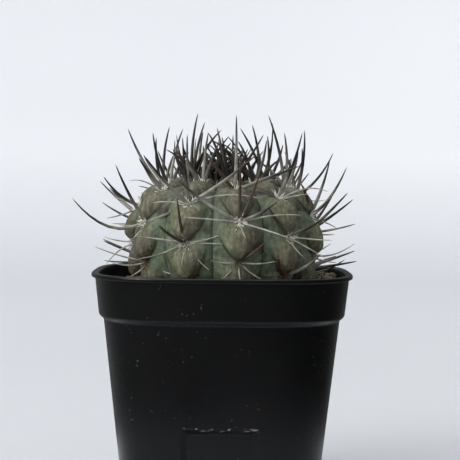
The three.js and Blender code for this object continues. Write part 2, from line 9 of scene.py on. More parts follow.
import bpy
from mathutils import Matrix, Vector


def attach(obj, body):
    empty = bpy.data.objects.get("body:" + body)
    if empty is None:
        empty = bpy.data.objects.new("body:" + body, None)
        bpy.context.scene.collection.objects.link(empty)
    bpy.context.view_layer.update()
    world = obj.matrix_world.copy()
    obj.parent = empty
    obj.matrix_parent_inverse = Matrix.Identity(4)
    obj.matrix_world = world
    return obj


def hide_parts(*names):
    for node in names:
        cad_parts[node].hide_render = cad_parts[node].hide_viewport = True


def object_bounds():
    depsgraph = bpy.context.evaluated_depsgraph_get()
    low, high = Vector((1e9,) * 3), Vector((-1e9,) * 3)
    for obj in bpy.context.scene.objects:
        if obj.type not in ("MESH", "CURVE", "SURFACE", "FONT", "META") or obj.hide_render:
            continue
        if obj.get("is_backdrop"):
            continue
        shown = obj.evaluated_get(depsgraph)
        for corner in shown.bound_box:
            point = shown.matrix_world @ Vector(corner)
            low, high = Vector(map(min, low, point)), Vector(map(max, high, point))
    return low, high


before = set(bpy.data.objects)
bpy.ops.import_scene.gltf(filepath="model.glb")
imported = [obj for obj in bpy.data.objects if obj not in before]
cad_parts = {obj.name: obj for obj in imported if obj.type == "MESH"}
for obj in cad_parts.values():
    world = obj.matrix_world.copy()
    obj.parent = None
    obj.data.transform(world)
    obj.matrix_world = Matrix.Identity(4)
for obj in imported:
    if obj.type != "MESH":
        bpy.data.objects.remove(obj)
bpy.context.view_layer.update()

# %% Python's and Blender's own tools
import math

import bpy
import numpy as np
from mathutils import Matrix, Vector

MM = 0.001

# %% [markdown]
# ## The camera
#
# The picture looks at the plant from just above the rim, from half a metre away, with a long lens.
# The camera could be aimed with a constraint, but three plain angles say more: how far it looks
# down, how far to the right of the pot's middle, and how much it is rolled.

# %% The camera
EYE = Vector((0, -0.4975, 0.1129))
LOOK_DOWN = math.radians(2.148)
LOOK_RIGHT = math.radians(0.294)
ROLL = math.radians(0.68)
FOCAL_SHARE = 1414 / 460

camera = bpy.data.objects.new("camera", bpy.data.cameras.new("camera"))
bpy.context.scene.collection.objects.link(camera)
camera.data.sensor_width = 36
camera.data.lens = FOCAL_SHARE * camera.data.sensor_width
camera.data.clip_start = 0.01
aim = Matrix.Rotation(-LOOK_RIGHT, 4, "Z") @ Matrix.Rotation(math.pi / 2 - LOOK_DOWN, 4, "X")
camera.matrix_world = Matrix.Translation(EYE) @ aim @ Matrix.Rotation(ROLL, 4, "Z")
bpy.context.scene.camera = camera
bpy.context.scene.view_settings.view_transform = "Standard"
print(f"lens {camera.data.lens:.1f} mm")

# %% [markdown]
# ## Surfaces from arrays
#
# Every surface here is a grid of points, worked out with numpy in one go. A helper turns such a
# grid into a mesh. It joins the first and last row to a pole each, so that the surface is closed,
# and it turns the faces round if the volume they enclose comes out negative, because faces must
# point outwards.

# %% A mesh from points and faces
def new_piece(name, points, quads, triangles=(), **attributes):
    """A smooth mesh object from points in millimetres, and one float attribute for each name."""
    quads = np.asarray(quads, np.int32).reshape(-1, 4)
    triangles = np.asarray(triangles, np.int32).reshape(-1, 3)
    halves = np.concatenate([quads[:, [0, 1, 2]], quads[:, [0, 2, 3]], triangles])
    a, b, c = (points[halves[:, k]] for k in range(3))
    volume = np.einsum("ij,ij->i", a, np.cross(b, c)).sum() / 6
    if volume < 0:
        quads = quads[:, ::-1]
        triangles = triangles[:, ::-1]
    mesh = bpy.data.meshes.new(name)
    mesh.vertices.add(len(points))
    mesh.vertices.foreach_set("co", (points * MM).astype(np.float32).ravel())
    mesh.loops.add(quads.size + triangles.size)
    mesh.loops.foreach_set("vertex_index", np.concatenate([quads.ravel(), triangles.ravel()]))
    mesh.polygons.add(len(quads) + len(triangles))
    starts = [np.arange(len(quads)) * 4, quads.size + np.arange(len(triangles)) * 3]
    mesh.polygons.foreach_set("loop_start", np.concatenate(starts).astype(np.int32))
    mesh.update(calc_edges=True)
    mesh.validate()
    mesh.polygons.foreach_set("use_smooth", np.ones(len(mesh.polygons), bool))
    for key, values in attributes.items():
        layer = mesh.attributes.new(key, "FLOAT", "POINT")
        layer.data.foreach_set("value", np.asarray(values, np.float32).ravel())
    piece = bpy.data.objects.new(name, mesh)
    bpy.context.scene.collection.objects.link(piece)
    print(f"{name}: {len(points)} points, {len(halves)} triangles, {abs(volume) / 1000:.1f} ml")
    return piece


# %% Faces of a closed grid
def closed_grid(rings, low_pole, high_pole):
    """Points, quads and triangles of rings of points, shape (rings, sides, 3), closed at two poles."""
    count, sides, _ = rings.shape
    points = np.concatenate([rings.reshape(-1, 3), [low_pole, high_pole]])
    here = np.arange(sides)
    beside = np.roll(here, -1)
    start = np.arange(count - 1)[:, None] * sides
    corners = [start + here, start + beside, start + sides + beside, start + sides + here]
    quads = np.stack(corners, -1).reshape(-1, 4)
    last = (count - 1) * sides
    low = np.stack([beside, here, np.full(sides, count * sides)], -1)
    high = np.stack([last + here, last + beside, np.full(sides, count * sides + 1)], -1)
    return points, quads, np.concatenate([low, high])


# %% Rings round the Z axis
def turned(reach, level, turns):
    """Points at reaches and levels: (reach sin(turn), -reach cos(turn), level), so 0 is the front."""
    return np.stack(np.broadcast_arrays(reach * np.sin(turns), -reach * np.cos(turns), level), -1)


# %% A piece in place of a CAD node
def stands_for(piece, node):
    """The piece replaces a CAD node, which it hides, and moves with the object's one body."""
    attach(piece, "root")
    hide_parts(node)


# %% [markdown]
# ## Random relief
#
# Skin, soil and moulded plastic are never quite even. Blender's noise textures could displace a
# mesh, but a sum of sine waves in random directions is smooth, quick for whole arrays and the
# same on every run.

# %% Waves in random directions
def waves(points, length, seed, count=24):
    """Relief of about -1 to 1: the sum of plane sine waves of one length in random directions."""
    draw = np.random.default_rng(seed)
    heading = draw.normal(size=(count, 3))
    heading *= 2 * np.pi / length / np.linalg.norm(heading, axis=1, keepdims=True)
    turns = points @ heading.T + draw.uniform(0, 2 * np.pi, count)
    return np.sin(turns).sum(-1) * math.sqrt(1 / count)


def layered(points, *layers):
    """The sum of waves at several lengths. Each layer gives its rise, length and seed."""
    return sum(rise * waves(points, length, seed) for rise, length, seed in layers)


def smooth_step(value):
    """0 below 0, 1 above 1 and 3v^2 - 2v^3 between."""
    part = np.clip(value, 0, 1)
    return part * part * (3 - 2 * part)


# %% [markdown]
# ## The pot's shape
#
# A nursery pot is one thin sheet of plastic, blown into a mould with four bowed walls, a straight
# band at the top and a beaded lip. It could be a bevelled box with a Solidify modifier. Here it is
# a profile carried round a soft-square outline, because the walls of such pots are never flat and
# the profile keeps the lip, the step and the foot crisp.

# %% Profile corners: half width, height and rounding
POT_HEIGHT = 80
WALL = 1.3
FLOOR = 1.8
WALL_FOOT_HALF = 33.6
WALL_TOP = (40.8, 64.4)
BAND_FOOT = (42.4, 65.8)
BAND_TOP = (43.8, 78.6)
OUTSIDE = [
    (WALL_FOOT_HALF, 0, 1.1),
    (*WALL_TOP, 0.5),
    (*BAND_FOOT, 0.7),
    (*BAND_TOP, 0.25),
    (45, 78.6, 0.62),
    (45, POT_HEIGHT, 0.62),
]
INSIDE = [
    (BAND_TOP[0] - WALL, POT_HEIGHT, 0.5),
    (BAND_FOOT[0] - WALL, 66.5, 0.5),
    (WALL_TOP[0] - WALL, WALL_TOP[1], 0.5),
    (WALL_FOOT_HALF + 0.2 - WALL, FLOOR, 1.0),
]


def wall_half(height):
    """Half of the pot's outer width at a height on its plain wall, a straight taper."""
    return WALL_FOOT_HALF + (WALL_TOP[0] - WALL_FOOT_HALF) * height / WALL_TOP[1]


# %% A profile with rounded corners
def rounded(corners, start, end, steps=5):
    """Corner points turned into quadratic arcs that begin and end a rounding away from each."""
    line = np.array([start, *[c[:2] for c in corners], end], float)
    size = np.array([c[2] for c in corners])[:, None]
    here = line[1:-1]
    back = line[:-2] - here
    ahead = line[2:] - here
    first = here + size * back / np.linalg.norm(back, axis=1, keepdims=True)
    last = here + size * ahead / np.linalg.norm(ahead, axis=1, keepdims=True)
    part = np.linspace(0, 1, steps)[:, None, None]
    arcs = (1 - part) ** 2 * first + 2 * part * (1 - part) * here + part**2 * last
    return arcs.transpose(1, 0, 2).reshape(-1, 2)


def with_rows(profile, heights):
    """A profile with more points put in on its straight runs, where it crosses the heights."""
    pieces = []
    heights = np.array(heights)
    for here, after in zip(profile[:-1], profile[1:]):
        low, high = sorted((here[1], after[1]))
        between = heights[(heights > low + 0.3) & (heights < high - 0.3)]
        between = between if after[1] > here[1] else between[::-1]
        part = (between - here[1]) / (after[1] - here[1] or 1)
        pieces.append(np.vstack([here, here + part[:, None] * (after - here)]))
    return np.vstack([*pieces, profile[-1]])


ROW_HEIGHTS = [*np.arange(2, 27, 2), *np.arange(27.5, 32, 0.33), *np.arange(33, 80, 2.2)]
outside_profile = with_rows(rounded(OUTSIDE, (0, 0), (0, POT_HEIGHT)), ROW_HEIGHTS)
inside_profile = with_rows(rounded(INSIDE, (50, POT_HEIGHT), (0, FLOOR)), ROW_HEIGHTS)
print(f"pot profile: {len(outside_profile)} rows outside, {len(inside_profile)} inside")

# %% [markdown]
# The walls have a sunk panel at the foot, with a drain slot. The panel's edges are straight, so the
# columns of the grid follow them: each wall has columns at fixed distances from its middle, close
# together on the panel's bevelled sides.

# %% The soft-square outline and the drain panels
SQUARENESS = 3.4
PANEL_TOP = 30
PANEL_HALF = 13
PANEL_DEPTH = 2
PANEL_BEVEL = 2
WALL_COLUMNS = 60
PANEL_SHARE = 0.3  # of the columns from a wall's middle to its corner that lie on the flat panel
BEVEL_SHARE = 0.1


def square_factor(angle):
    """The superellipse as a factor on a circle's radius: (|cos|^n + |sin|^n) ^ (-1/n)."""
    power = np.abs(np.cos(angle)) ** SQUARENESS + np.abs(np.sin(angle)) ** SQUARENESS
    return power ** (-1 / SQUARENESS)


def wall_grid(profile, margin=0.0):
    """The four walls at each (half, height) of a profile, with the panels pushed in.

    Along a wall x follows the columns and y is (half^n - x^n)^(1/n). Within the panel y moves in
    by its depth, times how far the point is from the panel's edge, up to the bevel's width."""
    half = profile[:, :1]
    height = profile[:, 1:2]
    scale = np.minimum(half / (WALL_FOOT_HALF - margin), 1)
    corner = half * 2 ** (-1 / SQUARENESS)
    flat_end = (PANEL_HALF - PANEL_BEVEL + margin) * scale
    bevel_end = (PANEL_HALF + margin) * scale
    columns = np.arange(-WALL_COLUMNS, WALL_COLUMNS)[None, :] / WALL_COLUMNS
    part = np.abs(columns)
    sign = np.sign(columns)
    past = part - PANEL_SHARE - BEVEL_SHARE
    x = flat_end * np.clip(part / PANEL_SHARE, 0, 1)
    x = x + (bevel_end - flat_end) * np.clip((part - PANEL_SHARE) / BEVEL_SHARE, 0, 1)
    x = x + (corner - bevel_end) * np.clip(past / (1 - PANEL_SHARE - BEVEL_SHARE), 0, 1)
    y = (half**SQUARENESS - x**SQUARENESS) ** (1 / SQUARENESS)
    limit = (np.maximum(wall_half(height) - margin, x) ** SQUARENESS - x**SQUARENESS) ** (1 / SQUARENESS)
    edge = np.minimum(PANEL_HALF + margin - x, PANEL_TOP + margin - height)
    sunk = PANEL_DEPTH * np.clip(edge / PANEL_BEVEL, 0, 1)
    y = np.where(sunk > 0, np.minimum(y, limit - sunk), y)
    height = np.broadcast_to(height, y.shape)
    front = np.stack([x * sign, -y, height], -1)
    right = np.stack([y, x * sign, height], -1)
    flip = np.array([-1, -1, 1])
    return np.concatenate([front, right, front * flip, right * flip], 1)


# %% The pot's sheet of plastic
FLOOR_HALVES = np.array([6, 14, 22, 28])[:, None]
under = np.hstack([FLOOR_HALVES, np.zeros_like(FLOOR_HALVES)])
floor = np.hstack([FLOOR_HALVES[::-1], np.full_like(FLOOR_HALVES, FLOOR, float)])
rings = np.concatenate([
    wall_grid(np.vstack([under, outside_profile])),
    wall_grid(np.vstack([inside_profile, floor]), WALL),
])
pot_shell = new_piece("pot_shell", *closed_grid(rings, (0, 0, 0), (0, 0, FLOOR)))

# %% [markdown]
# Drain slots and holes go right through the sheet, which a grid can't show. A Boolean modifier cuts
# them, and is applied at once.

# %% Drain slots and holes
SLOT_HALF = 2.5
SLOT_RANGE = (WALL_FOOT_HALF - 8, WALL_FOOT_HALF + 8)
SLOT_TOP = 9
HOLE_RADIUS = 3
HOLE_FROM_MIDDLE = 16


def prism(outline, low, high):
    """Points and faces of an upright prism over an outline of (x, y), between two heights."""
    rings = np.stack([np.column_stack([outline, np.full(len(outline), level)]) for level in (low, high)])
    middle = outline.mean(0)
    return closed_grid(rings, (*middle, low), (*middle, high))


def cut_out(piece, cutters):
    """Takes the cutters out of a piece with a Boolean modifier that is applied, and deletes them."""
    for cutter in cutters:
        modifier = piece.modifiers.new("cut", "BOOLEAN")
        modifier.object = cutter
        modifier.solver = "EXACT"
    graph = bpy.context.evaluated_depsgraph_get()
    cut = bpy.data.meshes.new_from_object(piece.evaluated_get(graph))
    piece.modifiers.clear()
    piece.data = cut
    for cutter in cutters:
        bpy.data.objects.remove(cutter)
    print(f"{piece.name}: {len(cut.polygons)} faces after the cuts")


near, far = SLOT_RANGE
slot = np.array([(-SLOT_HALF, -far), (SLOT_HALF, -far), (SLOT_HALF, -near), (-SLOT_HALF, -near)])
hole = turned(HOLE_RADIUS, 0, np.linspace(0, 2 * np.pi, 24, endpoint=False))[:, :2]
slots = []
for quarter in range(4):
    turn = quarter * math.pi / 2
    spin = np.array([[math.cos(turn), math.sin(turn)], [-math.sin(turn), math.cos(turn)]])
    slots.append(new_piece(f"slot_{quarter}", *prism(slot @ spin, -SLOT_TOP, SLOT_TOP)))
    middle = np.full(2, HOLE_FROM_MIDDLE / math.sqrt(2)) @ spin
    slots.append(new_piece(f"hole_{quarter}", *prism(hole + middle, -1, FLOOR + 1)))
cut_out(pot_shell, slots)
stands_for(pot_shell, "pot")

# %% [markdown]
# ## The stem's measure
#
# The stem is a flattened globe with a dipped crown and eleven ribs. Each rib is a row of chin-like
# tubercles, which are small and crowded at the crown and grow as they move down the side. Growth is
# what places them, so this could be a simulation. A formula does the same: the period along the rib
# grows from the crown as 1 - exp(-arc / reach), and its integral counts the tubercles down to any
# place on the profile.

# %% The bare profile, from the crown down to the underside
STEM_RADIUS = 30.6
WIDEST = 13
STEM_RISE = 18.4
STEM_DROP = 30
RISE_ROUNDNESS = 2.6
DROP_ROUNDNESS = 2.2
CROWN_DIP = 6
CROWN_DIP_WIDTH = 11

turn = np.linspace(math.pi / 2, -math.pi / 2, 601)
high = turn > 0
power = 2 / np.where(high, RISE_ROUNDNESS, DROP_ROUNDNESS)
radius = STEM_RADIUS * np.abs(np.cos(turn)) ** power
height = np.where(high, STEM_RISE, -STEM_DROP) * np.abs(np.sin(turn)) ** power
dip = CROWN_DIP * np.exp(-((radius / CROWN_DIP_WIDTH) ** 2))
height = POT_HEIGHT + WIDEST + height - np.where(high, dip, 0)
arc_length = np.concatenate([[0], np.cumsum(np.hypot(np.diff(radius), np.diff(height)))])
PROFILE = np.stack([arc_length, radius, height])
print(f"profile: {arc_length[-1]:.1f} mm from crown to underside")


def profile_at(arc):
    """Radius, height and outward normal (out, up) of the bare profile at an arc from the crown."""
    step = 0.05
    places = np.stack([arc, np.maximum(arc - step, 0), np.minimum(arc + step, PROFILE[0, -1])])
    radius, height = (np.interp(places, PROFILE[0], PROFILE[k]) for k in (1, 2))
    out = height[1] - height[2]
    up = radius[2] - radius[1]
    length = np.hypot(out, up)
    return radius[0], height[0], out / length, up / length


def arc_at_height(above_rim):
    """The arc at which the flank comes down to a height above the pot's rim."""
    return PROFILE[0, PROFILE[2] >= POT_HEIGHT + above_rim][-1]


# %% Counting tubercles along a rib
RIBS = 11
RIB_ANGLE = 2 * math.pi / RIBS
FRONT_RIB = math.radians(9.9)
PERIOD = 13.2
CROWN_PERIOD = 3.4
CROWN_REACH = 11
FRONT_AREOLE = 17.7
RIB_STAGGER = 5 / 11
RIGHT_RIB_LIFT = 0.1
GAIN = PERIOD - CROWN_PERIOD


def tubercle_count(arc):
    """Tubercles from the crown to an arc: the integral of one over the growing period."""
    return CROWN_REACH / PERIOD * np.log((PERIOD * np.exp(arc / CROWN_REACH) - GAIN) / CROWN_PERIOD)


def arc_of_count(count):
    """The arc at which a rib holds a number of tubercles, the inverse of tubercle_count."""
    return CROWN_REACH * np.log((CROWN_PERIOD * np.exp(count * PERIOD / CROWN_REACH) + GAIN) / PERIOD)


front_count = tubercle_count(arc_at_height(FRONT_AREOLE))


def rib_phase(rib):
    """The fraction of a count at which a rib has its areoles, with ribs numbered leftwards."""
    number = np.mod(rib, RIBS)
    return np.mod(front_count - RIB_STAGGER * number - RIGHT_RIB_LIFT * (number == RIBS - 1), 1)


# %% [markdown]
# ## The ribbed skin
#
# A tubercle could be sculpted once and copied, but copies would not meet in the zigzag furrows that
# this cactus has. Here each rib adds a row of domes to the bare profile, and the highest dome shows.
# A narrower ridge on each dome comes down to a point above the next areole: that is the chin. It
# hangs over a little, which moves its points down as well as out.

# %% Relief of the skin
TUBERCLE_HEIGHT = 4.4
RIBS_END = -4.5
RIBS_FADE = 5
CROWN_PLAIN = 3.5
NOTCH_ABOVE = 0.06
CHIN_SLOPE = 0.3
RIB_RISE = 0.34
RIB_HALF = 0.56
RIB_ROUNDNESS = 2.6
SWELL_SKEW = 1.5
SWELL_FULLNESS = 0.75
CHIN_RISE = 0.86
CHIN_HALF = 0.43
CHIN_POINT = 0.78
CHIN_DROOP = 1.3
DROOP_FROM = 0.3
DROOP_SPAN = 0.4
FURROW_DEPTH = 0.8
FURROW_WIDTH = 0.06
FURROW_FROM = 0.3
LEFT_FLAT = 1.3
LEFT_TURN = math.radians(-95)
LEFT_SPREAD = math.radians(30)


def tubercle(arc, place, rib):
    """One rib at an arc and a place across the ribs: rise, chin, droop, way down and place aside.

    The rib is a low round, 1 - (aside / half)^2.6. Each tubercle is a parabola across it, times a
    swell of sin(pi d^1.5)^0.75 that is highest two thirds of the way down. Its half width shrinks
    with d^3, so that it ends in a chin above the next areole, and the chin hangs down a little."""
    aside = place - rib
    count = tubercle_count(arc) - rib_phase(-rib) + NOTCH_ABOVE
    down = np.mod(count + CHIN_SLOPE * np.abs(aside), 1)
    swell = np.sin(np.pi * down**SWELL_SKEW) ** SWELL_FULLNESS
    half = CHIN_HALF * (1 - CHIN_POINT * down**3)
    chin = np.clip(1 - (aside / half) ** 2, 0, 1)
    low_round = RIB_RISE * (1 - (np.abs(aside) / RIB_HALF) ** RIB_ROUNDNESS)
    droop = CHIN_DROOP * chin * swell * smooth_step((down - DROOP_FROM) / DROOP_SPAN)
    return low_round + CHIN_RISE * swell * chin, chin * swell, droop, down, aside


def relief(arc, angle):
    """How far the skin stands out, with its droop, chin, way down, place aside and furrow.

    Of three neighbouring ribs the highest shows. Where the second comes near it, there is a furrow."""
    radius, height, _, _ = profile_at(arc)
    young = 1 - GAIN / PERIOD * np.exp(-arc / CROWN_REACH)
    fade = smooth_step((height - POT_HEIGHT - RIBS_END) / RIBS_FADE)
    share = young * fade * (1 - np.exp(-((radius / CROWN_PLAIN) ** 2)))
    flat = LEFT_FLAT * np.exp(-(((angle - LEFT_TURN + np.pi) % (2 * np.pi) - np.pi) / LEFT_SPREAD) ** 2)
    place = (angle - FRONT_RIB) / RIB_ANGLE
    nearest = np.round(place)
    ribs = np.stack([np.stack(tubercle(arc, place, nearest + k)) for k in (-1, 0, 1)])
    order = np.argsort(ribs[:, 0], axis=0)
    rise, chin, droop, down, aside = np.take_along_axis(ribs, order[2][None, None], 0)[0]
    second = np.take_along_axis(ribs[:, 0], order[1][None], 0)[0]
    furrow = np.exp(-(rise - second) / FURROW_WIDTH)
    furrow = furrow * smooth_step((np.abs(aside) - FURROW_FROM) / FURROW_WIDTH)
    rise = share * (TUBERCLE_HEIGHT * rise - FURROW_DEPTH * furrow - flat)
    return rise, share * droop, share * chin, down, aside, share * furrow


# %% The skin as a grid
SKIN_COLUMNS = RIBS * 44
RIBBED_ROWS = 172
FOOT_ROWS = 14
COARSE = (0.16, 9, 3)  # rise, length and seed of the skin's unevenness
FINE = (0.06, 2.6, 4)

flank_arc = arc_at_height(RIBS_END)
whole_arc = PROFILE[0, -1]
arcs = np.concatenate([
    flank_arc * (np.arange(1, RIBBED_ROWS + 1) / RIBBED_ROWS),
    flank_arc + (whole_arc - flank_arc) * np.arange(1, FOOT_ROWS) / FOOT_ROWS,
])[:, None]
angles = (FRONT_RIB + 2 * np.pi * np.arange(SKIN_COLUMNS) / SKIN_COLUMNS)[None, :]
arcs, angles = np.broadcast_arrays(arcs, angles)
radius, height, out, up = profile_at(arcs)
rise, droop, chin, down, aside, furrow = relief(arcs, angles)
heading = np.stack([np.sin(angles), -np.cos(angles)], -1)
bare = np.concatenate([heading * radius[..., None], height[..., None]], -1)
firm = smooth_step((height - POT_HEIGHT - RIBS_END) / RIBS_FADE) * smooth_step(arcs / 8)
rise = rise + firm * layered(bare, COARSE, FINE) * (1 - furrow)
normal = np.concatenate([heading * out[..., None], up[..., None]], -1)
skin = bare + normal * rise[..., None]
skin[..., 2] -= droop
print(f"relief up to {rise.max():.2f} mm")

# %% The root closes the skin below
ROOT = np.array([(9.0, 6.0), (6.7, -15.0), (4.4, -34.0), (2.2, -51.3), (1.4, -52)])
ROOT_TIP = POT_HEIGHT + ROOT[-1, 1]
root_level = np.minimum(ROOT[:, 1:] + POT_HEIGHT, PROFILE[2, -1] - 0.2)
root_rings = turned(ROOT[:, :1], root_level, angles[0])
rows = np.flatnonzero((radius[:, 0] > ROOT[0, 0] + 0.5) | (arcs[:, 0] <= flank_arc))


def with_root(values, at_root=0.0):
    """An attribute of the skin with one value for the root, and 0 for the pole at the crown."""
    return np.append(np.concatenate([values[rows], np.full(root_rings.shape[:2], at_root)]), [0, at_root])


rings = np.concatenate([skin[rows], root_rings])
cactus_stem = new_piece(
    "cactus_stem", *closed_grid(rings, (0, 0, PROFILE[2, 0]), (0, 0, ROOT_TIP - 0.2)),
    chin=with_root(chin), down=with_root(down), aside=with_root(aside), furrow=with_root(furrow),
    age=with_root(arcs / flank_arc, 1.0),
)
stands_for(cactus_stem, "cactus")

# %% [markdown]
# ## The soil
#
# The pot is filled with gritty mix to just below the lip, heaped a little against the stem on the
# right. A fluid or rigid-body simulation could pour it, but its surface is all that shows. So the
# bed is one closed surface: floor, walls, the rough top, and the hole that the stem stands in.

# %% Height of the soil
SOIL_DEPTH = 5.5
SOIL_MOUND = 2.8
SOIL_MOUND_TURN = 0.4
SOIL_MOUND_REACH = 4
SOIL_LEFT_SHARE = 0.2
SOIL_LUMP = 0.5
HEAP_PLACE = (38, 6)
HEAP_REACH = 8
HEAP_RISE = 2.8
GAP = 0.3


def soil_height(x, y):
    """Level, plus a mound that dies away from the stem and is highest on the right, plus lumps."""
    away = np.maximum(np.hypot(x, y) - STEM_RADIUS, 0)
    towards = 0.5 + 0.5 * np.cos(np.arctan2(y, x) - SOIL_MOUND_TURN)
    share = SOIL_LEFT_SHARE + (1 - SOIL_LEFT_SHARE) * towards
    mound = SOIL_MOUND * share * np.exp(-away / SOIL_MOUND_REACH)
    lumps = np.sin(0.9 * x + 0.4 * y) * np.sin(0.8 * y - 0.3 * x)
    return POT_HEIGHT - SOIL_DEPTH + mound + SOIL_LUMP * lumps


def soil_heap(x, y):
    """The bed's surface: the soil's height, and on the right a heap that falls off as exp(-r^2)."""
    reach = np.hypot(x - HEAP_PLACE[0], y - HEAP_PLACE[1]) / HEAP_REACH
    return soil_height(x, y) + HEAP_RISE * np.exp(-(reach**2))


# %% The bed's surface
SOIL_WALL = np.array([*[corner[:2] for corner in INSIDE[:0:-1]], (42, 74.2)]) + (-GAP, 0)
SOIL_WALL[0, 1] += GAP
TOP_RINGS = 26
SEAT_DEPTH = 4  # from the rim down to where the bed meets the stem
SEAT_CLEARANCE = 0.15
LUMPS = (0.35, 4.5, 11)  # rise, length and seed
CRUMBS = (0.2, 1.7, 12)

walls = wall_grid(with_rows(SOIL_WALL, ROW_HEIGHTS), WALL + GAP)
edge = walls[-1]
turns = np.arctan2(edge[:, 0], -edge[:, 1])
edge_reach = np.hypot(edge[:, 0], edge[:, 1])
seat_arc = np.interp(POT_HEIGHT - SEAT_DEPTH, PROFILE[2, ::-1], PROFILE[0, ::-1])


def hole_ring(arc, clear):
    """A ring round the stem, which stands off its skin by a clearance."""
    arc = np.full_like(turns, arc)
    radius, height, out, up = profile_at(arc)
    away = relief(arc, turns)[0] + clear
    return turned(radius + away * out, height + away * up, turns)


seat = hole_ring(seat_arc, SEAT_CLEARANCE)
seat_reach = np.hypot(seat[:, 0], seat[:, 1])
part = (np.arange(1, TOP_RINGS + 1) / TOP_RINGS)[:, None]
reach = edge_reach + (seat_reach - edge_reach) * part
top = turned(reach, 0.0, turns)
rough = layered(top, LUMPS, CRUMBS) * smooth_step((1 - part) * 6)
top[..., 2] = soil_heap(top[..., 0], top[..., 1]) + rough
foot_arcs = np.linspace(seat_arc, whole_arc, 14)[1:-1]
hole = np.stack([hole_ring(arc, GAP) for arc in foot_arcs])
hole = hole[np.hypot(hole[:, 0, 0], hole[:, 0, 1]) > ROOT[0, 0] + 1]
bore = turned(ROOT[:, :1] + GAP, root_level - GAP, turns)
rings = np.concatenate([walls, top, hole, bore])
poles = (0, 0, FLOOR + GAP), (0, 0, ROOT_TIP - 2 * GAP)
soil_bed = new_piece("soil_bed", *closed_grid(rings, *poles))
stands_for(soil_bed, "soil")

# %% [markdown]
# Grains lie on the bed. Each is a twenty-sided lump, small enough that its few faces don't show,
# with its own size, stretch and tint. All of them are one mesh, made in one step by multiplying the
# same twelve corners by every grain's own matrix.

# %% Grains of grit
GRAINS = 3600
SMALLEST = 0.45
LARGEST = 1.35
WALL_REACH = 41.5  # half of the pot's inner width at the soil

golden = (1 + 5**0.5) / 2
corners = np.array([(0, s, t * golden) for s in (-1, 1) for t in (-1, 1)], float)
corners = np.concatenate([corners, np.roll(corners, 1, 1), np.roll(corners, 2, 1)])
corners /= np.linalg.norm(corners[0])
triples = np.array([(i, j, k) for i in range(12) for j in range(i + 1, 12) for k in range(j + 1, 12)])
sides = np.stack([corners[triples[:, i]] - corners[triples[:, j]] for i, j in ((0, 1), (1, 2), (2, 0))])
flat = triples[(np.linalg.norm(sides, axis=2) < 1.2).all(0)]
facing = np.linalg.det(corners[flat]) < 0
flat[facing] = flat[facing][:, ::-1]

draw = np.random.default_rng(5)
grain_turn = draw.uniform(0, 2 * np.pi, GRAINS)
around = turns % (2 * np.pi)
order = np.argsort(around)
inner = np.interp(grain_turn % (2 * np.pi), around[order], seat_reach[order])
outer = WALL_REACH * square_factor(grain_turn)
grain_size = SMALLEST + (LARGEST - SMALLEST) * draw.random(GRAINS) ** 3
share = draw.random(GRAINS) ** 0.85
grain_reach = inner + grain_size + 0.2 + (outer - inner - 2 * grain_size - 0.4) * share
middles = turned(grain_reach, 0.0, grain_turn)
middles[:, 2] = soil_heap(middles[:, 0], middles[:, 1]) + 0.3 * grain_size + draw.uniform(-0.2, 0.3, GRAINS)
spin = np.linalg.qr(draw.normal(size=(GRAINS, 3, 3)))[0]
spin[:, 0] *= np.sign(np.linalg.det(spin))[:, None]
stretch = grain_size[:, None] * draw.uniform(0.7, 1.25, (GRAINS, 3))
uneven = corners * draw.uniform(0.82, 1.12, (GRAINS, 12, 1))
lumps = np.einsum("gij,gkj->gki", spin, uneven * stretch[:, None]) + middles[:, None]
faces = (flat[None] + 12 * np.arange(GRAINS)[:, None, None]).reshape(-1, 3)
soil_grit = new_piece(
    "soil_grit", lumps.reshape(-1, 3), (), faces, tint=np.repeat(draw.random(GRAINS), 12))
soil_grit.data.polygons.foreach_set("use_smooth", np.zeros(len(faces), bool))
stands_for(soil_grit, "soil")

# %% [markdown]
# ## Areoles and spines
#
# Spines grow in stars from the areoles. The picture shows the front ones, so those have a table of
# tips, measured in millimetres right, up and forward of the areole, with the rise of the bow. The
# others follow a rule: kinds of spine, each with a turn round the areole's axis, a lean from it and
# a length, spread by random draws. Hair curves would be quick, but they are lost on export, so
# every spine is a tapered tube of mesh.

# %% Places of the areoles
LOWEST_AREOLE = -2.5
YOUNGEST_ARC = 5

areoles = []
for rib in range(RIBS):
    phase = float(rib_phase(rib))
    most = float(tubercle_count(arc_at_height(LOWEST_AREOLE)) - phase)
    angle = FRONT_RIB - rib * RIB_ANGLE
    for k in range(int(most), -1, -1):
        arc = float(arc_of_count(k + phase))
        if arc < YOUNGEST_ARC:
            continue
        r, h, o, u = (float(v) for v in profile_at(np.array(arc)))
        rise_here = float(relief(np.array([arc]), np.array([angle]))[0][0])
        ahead = np.array([math.sin(angle), -math.cos(angle), 0])
        normal = ahead * o + np.array([0, 0, u])
        side = np.array([math.cos(angle), math.sin(angle), 0])
        areoles.append({
            "key": f"{rib}.{int(most) - k}",
            "arc": arc,
            "point": ahead * (r + rise_here * o) + np.array([0, 0, h + rise_here * u]),
            "normal": normal,
            "side": side,
            "up": -np.cross(side, normal),
        })
print(len(areoles), "areoles")

